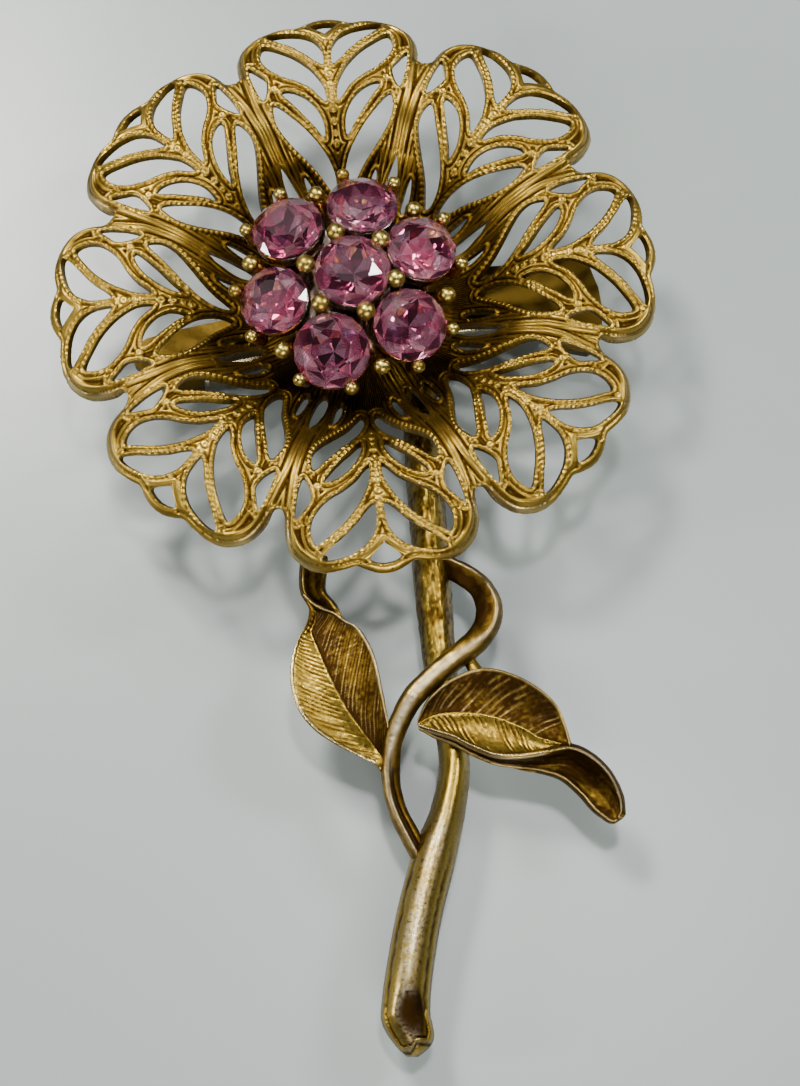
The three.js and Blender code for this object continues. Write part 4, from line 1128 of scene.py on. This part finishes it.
RIGHT_LEAF = [
    [(5.5, -37.2, -5.0), (5.55, -37.6, -5.05), (5.7, -37.85, -5.0)],
    [(6.5, -35.5, -4.6), (7.1, -36.85, -5.1), (7.1, -38.3, -4.95)],
    [(8.35, -33.95, -4.4), (8.9, -36.7, -5.1), (8.5, -38.8, -4.8)],
    [(10.7, -33.1, -4.2), (10.8, -36.85, -5.05), (10.1, -39.7, -4.6)],
    [(13.0, -33.5, -4.1), (12.5, -37.3, -5.0), (11.9, -40.4, -4.4)],
    [(15.2, -34.6, -4.2), (14.2, -38.05, -4.9), (13.85, -40.45, -4.3)],
    [(16.85, -36.1, -4.35), (15.4, -38.8, -4.8), (15.7, -40.15, -4.3)],
    [(17.6, -37.8, -4.5), (16.8, -39.2, -4.7), (17.0, -39.9, -4.4)],
    [(18.0, -39.3, -4.6), (17.9, -39.5, -4.65), (17.9, -39.75, -4.6)],
]
# The rolled-under lower side of the right leaf and its curled tip: lip, hollow, lower edge.
RIGHT_FOLD = [
    [(5.6, -37.75, -5.3), (5.65, -37.9, -5.4), (5.7, -38.0, -5.5)],
    [(7.1, -38.25, -5.1), (7.05, -38.5, -5.5), (7.0, -38.7, -5.7)],
    [(8.5, -38.8, -4.9), (8.45, -39.05, -5.4), (8.4, -39.3, -5.6)],
    [(10.1, -39.65, -4.7), (10.1, -39.9, -5.3), (10.0, -40.15, -5.6)],
    [(11.9, -40.35, -4.5), (11.95, -40.65, -5.3), (11.9, -40.9, -5.6)],
    [(13.85, -40.4, -4.4), (13.8, -40.8, -5.6), (13.7, -41.15, -5.7)],
    [(15.8, -40.1, -4.4), (15.8, -40.8, -5.9), (15.7, -41.4, -5.7)],
    [(17.7, -39.55, -4.5), (17.6, -40.8, -6.2), (17.3, -41.95, -5.8)],
    [(19.4, -40.1, -4.7), (19.1, -41.7, -6.5), (18.7, -43.1, -6.0)],
    [(20.95, -41.4, -5.1), (20.4, -42.9, -6.6), (19.8, -44.4, -6.2)],
    [(21.9, -43.05, -5.6), (21.3, -44.0, -6.6), (20.6, -45.05, -6.3)],
    [(22.15, -44.3, -5.9), (21.7, -44.9, -6.4), (21.1, -45.4, -6.3)],
    [(21.95, -44.95, -6.1), (21.75, -45.2, -6.3), (21.5, -45.4, -6.3)],
]


def leaf_sheet(rows, seed, blade_end, lean, painted_light_levels, step=0.0, rims=(0.14, 0.14), thick=0.5, hollow=0.25,
               grooves=(1, 1), ridges=(0, 0), rib_height=0.0, lengthways=0.0, rim_wear_and_highlight=(0.3, 0.3), neck=2.0):
    """A closed leaf body over rows of points, with the patina and painted shade, the wear and painted
    highlight of its points.
    Pairs are for the side before the midrib and the side after it; lean is how steeply the veins run to the
    tip;
    each side has its own level of painted shade, and both sides have the second level beyond the neck."""
    rows = np.array(rows, float)
    along = spline(rows.reshape(len(rows), -1), 20).reshape(-1, 3, 3)
    sheet = spline(along.transpose(1, 0, 2).reshape(3, -1), 36)
    sheet = sheet.reshape(-1, along.shape[0], 3).transpose(1, 0, 2)
    n, m = sheet.shape[:2]
    s = np.linspace(0, 1, n)[:, None]
    t = np.linspace(-1, 1, m)[None, :]
    normal = np.cross(np.gradient(sheet, axis=1), np.gradient(sheet, axis=0))
    normal /= np.maximum(np.linalg.norm(normal, axis=2)[:, :, None], 1e-9)
    if normal[..., 2].mean() < 0:
        normal = -normal
    mid = sheet[:, m // 2]
    run = np.concatenate([[0], np.cumsum(np.linalg.norm(np.diff(mid, axis=0), axis=1))])[:, None]
    across = np.linalg.norm(sheet - mid[:, None], axis=2)

    def per_side(pair):
        return np.where(t < 0, pair[0], pair[1])

    q = run - per_side(lean) * across
    flat = sheet.reshape(-1, 3)
    wobble = value_noise(flat, 1.6, seed).reshape(n, m)
    grit = value_noise(flat, 0.25, seed + 5).reshape(n, m)
    lines = np.stack([q.ravel(), across.ravel() * 0.35, 0 * q.ravel()], 1)
    broken = np.stack([q.ravel(), across.ravel() * 0.9, 0 * q.ravel()], 1)
    some = np.clip(0.62 + 1.5 * value_noise(lines, 0.6, seed + 9), 0, 1).reshape(n, m)
    few = np.clip(0.4 + 1.9 * value_noise(broken, 0.7, seed + 13), 0, 1).reshape(n, m)
    groove = np.exp(-(np.sin(np.pi * q / 0.46 + 1.3 * wobble) / 0.4) ** 2) * some
    raised = np.exp(-(np.sin(np.pi * q / 0.62 + 0.9 * wobble) / 0.24) ** 2) * few
    blade = smoothstep(blade_end + 0.08, blade_end - 0.08, s) * smoothstep(0.02, 0.1, s)
    width = np.maximum(across[:, :1], across[:, -1:])
    e = (1 - np.abs(t)) * np.where(t < 0, across[:, :1], across[:, -1:])
    field = smoothstep(0.03, 0.2, across) * smoothstep(0.2, 0.5, e) * blade
    groove, raised = groove * field * per_side(grooves), raised * field * per_side(ridges)
    rim = np.clip(1 - ((e - 0.16) / 0.16) ** 2, 0, 1) ** 0.6
    beyond = smoothstep(neck - 0.04, neck + 0.04, s)
    rib = np.exp(-(across / 0.12) ** 2) * smoothstep(blade_end + 0.1, blade_end - 0.05, s)
    rib = rib * (1 - beyond)
    drop = step * np.where(t > 0, np.exp(-across / 0.9), 0) * smoothstep(0, 0.08, s) * smoothstep(1.0, 0.8, s)
    sink = hollow * np.clip(1 - ((np.abs(t) - 0.52) / 0.46) ** 2, 0, 1) * np.minimum(width / 2.5, 1)
    stripes = value_noise(np.stack([across.ravel() * per_side((1, -1)).repeat(n, 0).ravel() * 3.2,
                                    run.repeat(m, 1).ravel() * 0.35, 0 * q.ravel()], 1), 1.0, seed + 3)
    stripes = stripes.reshape(n, m) * lengthways
    rim_left = np.where(t < 0, 1 - beyond, 1)
    height = 0.08 * raised - 0.09 * groove + per_side(rims) * rim * rim_left
    height = height + rib_height * rib - drop - sink
    height = height + 0.018 * grit + 0.05 * stripes
    top = sheet + normal * height[..., None]
    low = sheet - normal * (thick - np.minimum(e, 0.3) * 0.4)[..., None]
    # each side's level paints it darker or lighter as shade and the low side of the step is painted darker;
    # grooves are darker, and rims, raised veins and midrib are painted lighter as wear and highlight
    patina_and_shade = per_side(painted_light_levels) * (1 - beyond) + painted_light_levels[1] * beyond + 0.8 * groove - 0.6 * raised - 0.3 * stripes
    patina_and_shade = patina_and_shade - 6 * rib_height * rib + 1.2 * drop - 0.5 * rim * rim_left
    patina_and_shade = patina_and_shade + 0.16 * wobble + 0.14 * grit
    wear_and_highlight = np.clip(rim * per_side(rim_wear_and_highlight) * rim_left + 0.12 * raised, 0, 1)
    verts = np.concatenate([top, low[:, ::-1]], axis=1).reshape(-1, 3)
    ring_patina_and_shade = np.concatenate([np.clip(patina_and_shade, 0, 1), np.full((n, m), 0.5)], 1).ravel()
    ring_wear_and_highlight = np.concatenate([wear_and_highlight * np.ones((n, 1)), np.zeros((n, m))], 1).ravel()
    quads = grid_faces(n, 2 * m, wrap_cols=True)
    i = np.arange(m - 1)
    first = np.stack([i, i + 1, 2 * m - 2 - i, 2 * m - 1 - i], 1)
    quads = facing_out(verts, np.vstack([quads, first[:, ::-1], first + (n - 1) * 2 * m]))
    return verts, {4: quads}, ring_patina_and_shade, ring_wear_and_highlight


def leaf(name, node, *sheets):
    verts, faces = merged([(v, f) for v, f, _, _ in sheets])
    make(name, verts, faces, CAST, replaces=[node], attributes={
        "patina_and_shade": np.concatenate([c for _, _, c, _ in sheets]),
        "wear_and_highlight": np.concatenate([w for _, _, _, w in sheets]),
    })


# the folded back of the neck and the rolled-under side get high levels: painted shade
leaf(
    "leaf_left_cast", "leaf_left",
    leaf_sheet(LEFT_LEAF, 41, 0.86, (1.2, 1.45), (0.2, 0.76), step=0.3, rims=(0.08, 0.22), grooves=(1.0, 0.6),
               ridges=(0.0, 0.85), rim_wear_and_highlight=(0.35, 0.2), neck=0.66),
    leaf_sheet(LEFT_FOLD, 44, 0.0, (1, 1), (0.8, 0.78), rims=(0.12, 0.04), hollow=0.0, thick=0.4,
               lengthways=0.4, rim_wear_and_highlight=(0.1, 0.0)),
)
leaf(
    "leaf_right_cast", "leaf_right",
    leaf_sheet(RIGHT_LEAF, 42, 0.86, (0.85, 0.85), (0.86, 0.27), rims=(0.12, 0.16), grooves=(0.4, 1.0),
               ridges=(1.0, 0.0), rib_height=0.08, rim_wear_and_highlight=(0.15, 0.4)),
    leaf_sheet(RIGHT_FOLD, 43, 0.0, (1, 1), (0.92, 0.86), rims=(0.12, 0.1), hollow=0.0, thick=0.42,
               lengthways=0.5, rim_wear_and_highlight=(0.35, 0.15)),
)


# ------------------------------------------------------------------ plain metal on the CAD nodes

EDGE_BEVEL = 0.00012

for node, material in (
    ("back_bar", SHADED_BAR_GOLD), ("hinge_bracket", SHADED_BAR_GOLD), ("catch_body", SHADED_BAR_GOLD),
    ("catch_roller", WIRE), ("centre_rivet", PALE), ("stem_rivet", PALE),
    ("hinge_rivet", WIRE), ("pin_stem", WIRE),
):
    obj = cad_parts[node]
    obj.data.materials.clear()
    obj.data.materials.append(material)
    bevel = obj.modifiers.new("edges", "BEVEL")
    bevel.width = EDGE_BEVEL
    bevel.segments = 3
    bevel.limit_method = "ANGLE"
    bevel.angle_limit = math.radians(25)


# ------------------------------------------------------------------ floor, light and camera

FLOOR_HALF = 1.2
floor_mesh = bpy.data.meshes.new("floor")
floor_mesh.from_pydata(
    [(x * FLOOR_HALF, y * FLOOR_HALF, 0) for x, y in ((-1, -1), (1, -1), (1, 1), (-1, 1))],
    [], [(0, 1, 2, 3)],
)
floor = in_scene("floor", floor_mesh)
floor_mat, _, _, floor_shader = new_material("floor_pale")
floor_shader.inputs["Base Color"].default_value = (0.23, 0.26, 0.25, 1)
floor_shader.inputs["Roughness"].default_value = 0.35
floor_mesh.materials.append(floor_mat)

world = bpy.data.worlds.new("studio")
bpy.context.scene.world = world
world.use_nodes = True
background = world.node_tree.nodes["Background"]
background.inputs["Color"].default_value = (0.66, 0.67, 0.68, 1)
background.inputs["Strength"].default_value = 0.14


def softbox(name, place, aim, size, power, colour=(1, 1, 1)):
    light = bpy.data.lights.new(name, "AREA")
    light.shape = "RECTANGLE"
    light.size, light.size_y = size
    light.energy = power
    light.color = colour
    lamp = in_scene(name, light)
    lamp.location = place
    direction = Vector(aim) - Vector(place)
    lamp.rotation_euler = direction.to_track_quat("-Z", "Y").to_euler()


target = (0, 0.01, 0.008)
softbox("key", (-0.13, 0.2, 0.34), target, (0.09, 0.07), 2.4, (1, 0.98, 0.93))
softbox("right", (0.26, 0.12, 0.26), target, (0.06, 0.09), 1.2, (0.97, 0.98, 1))
softbox("front", (0.06, -0.3, 0.22), target, (0.14, 0.04), 1.2, (1, 0.97, 0.91))
softbox("left", (-0.32, -0.06, 0.16), target, (0.04, 0.12), 0.8, (0.97, 0.98, 1))
softbox("spark", (0.03, 0.05, 0.4), target, (0.035, 0.035), 0.6, (1, 1, 1))
overhead = bpy.data.lights.new("overhead", "SUN")
overhead.energy = 0.35
overhead.angle = math.radians(50)
overhead_lamp = in_scene("overhead", overhead)
overhead_lamp.rotation_euler = (math.radians(-28), math.radians(-14), 0)


# The camera stands below the flower's axis and looks up the brooch, turned with the picture.
TILT = math.radians(18.36)
SWING = math.radians(0.97)
SENSOR = 36
# The focal length in the units of a picture this high.
FOCAL, IMAGE_HEIGHT = 2200, 1086
camera_data = bpy.data.cameras.new("camera")
camera = in_scene("camera", camera_data)
looking = Matrix.Rotation(-SWING, 3, "Y") @ Matrix.Rotation(-TILT, 3, "X")
offset = Vector((-3.984, 22.507, -186.67))
place = looking.transposed() @ (-offset)
camera.matrix_world = Matrix.Translation(
    Vector(ORIGIN.tolist()) + place * MM
) @ looking.transposed().to_4x4()
camera_data.sensor_fit = "AUTO"
camera_data.sensor_width = SENSOR
camera_data.lens = SENSOR * FOCAL / IMAGE_HEIGHT
camera_data.clip_start = 0.005
bpy.context.scene.camera = camera

bpy.context.view_layer.update()
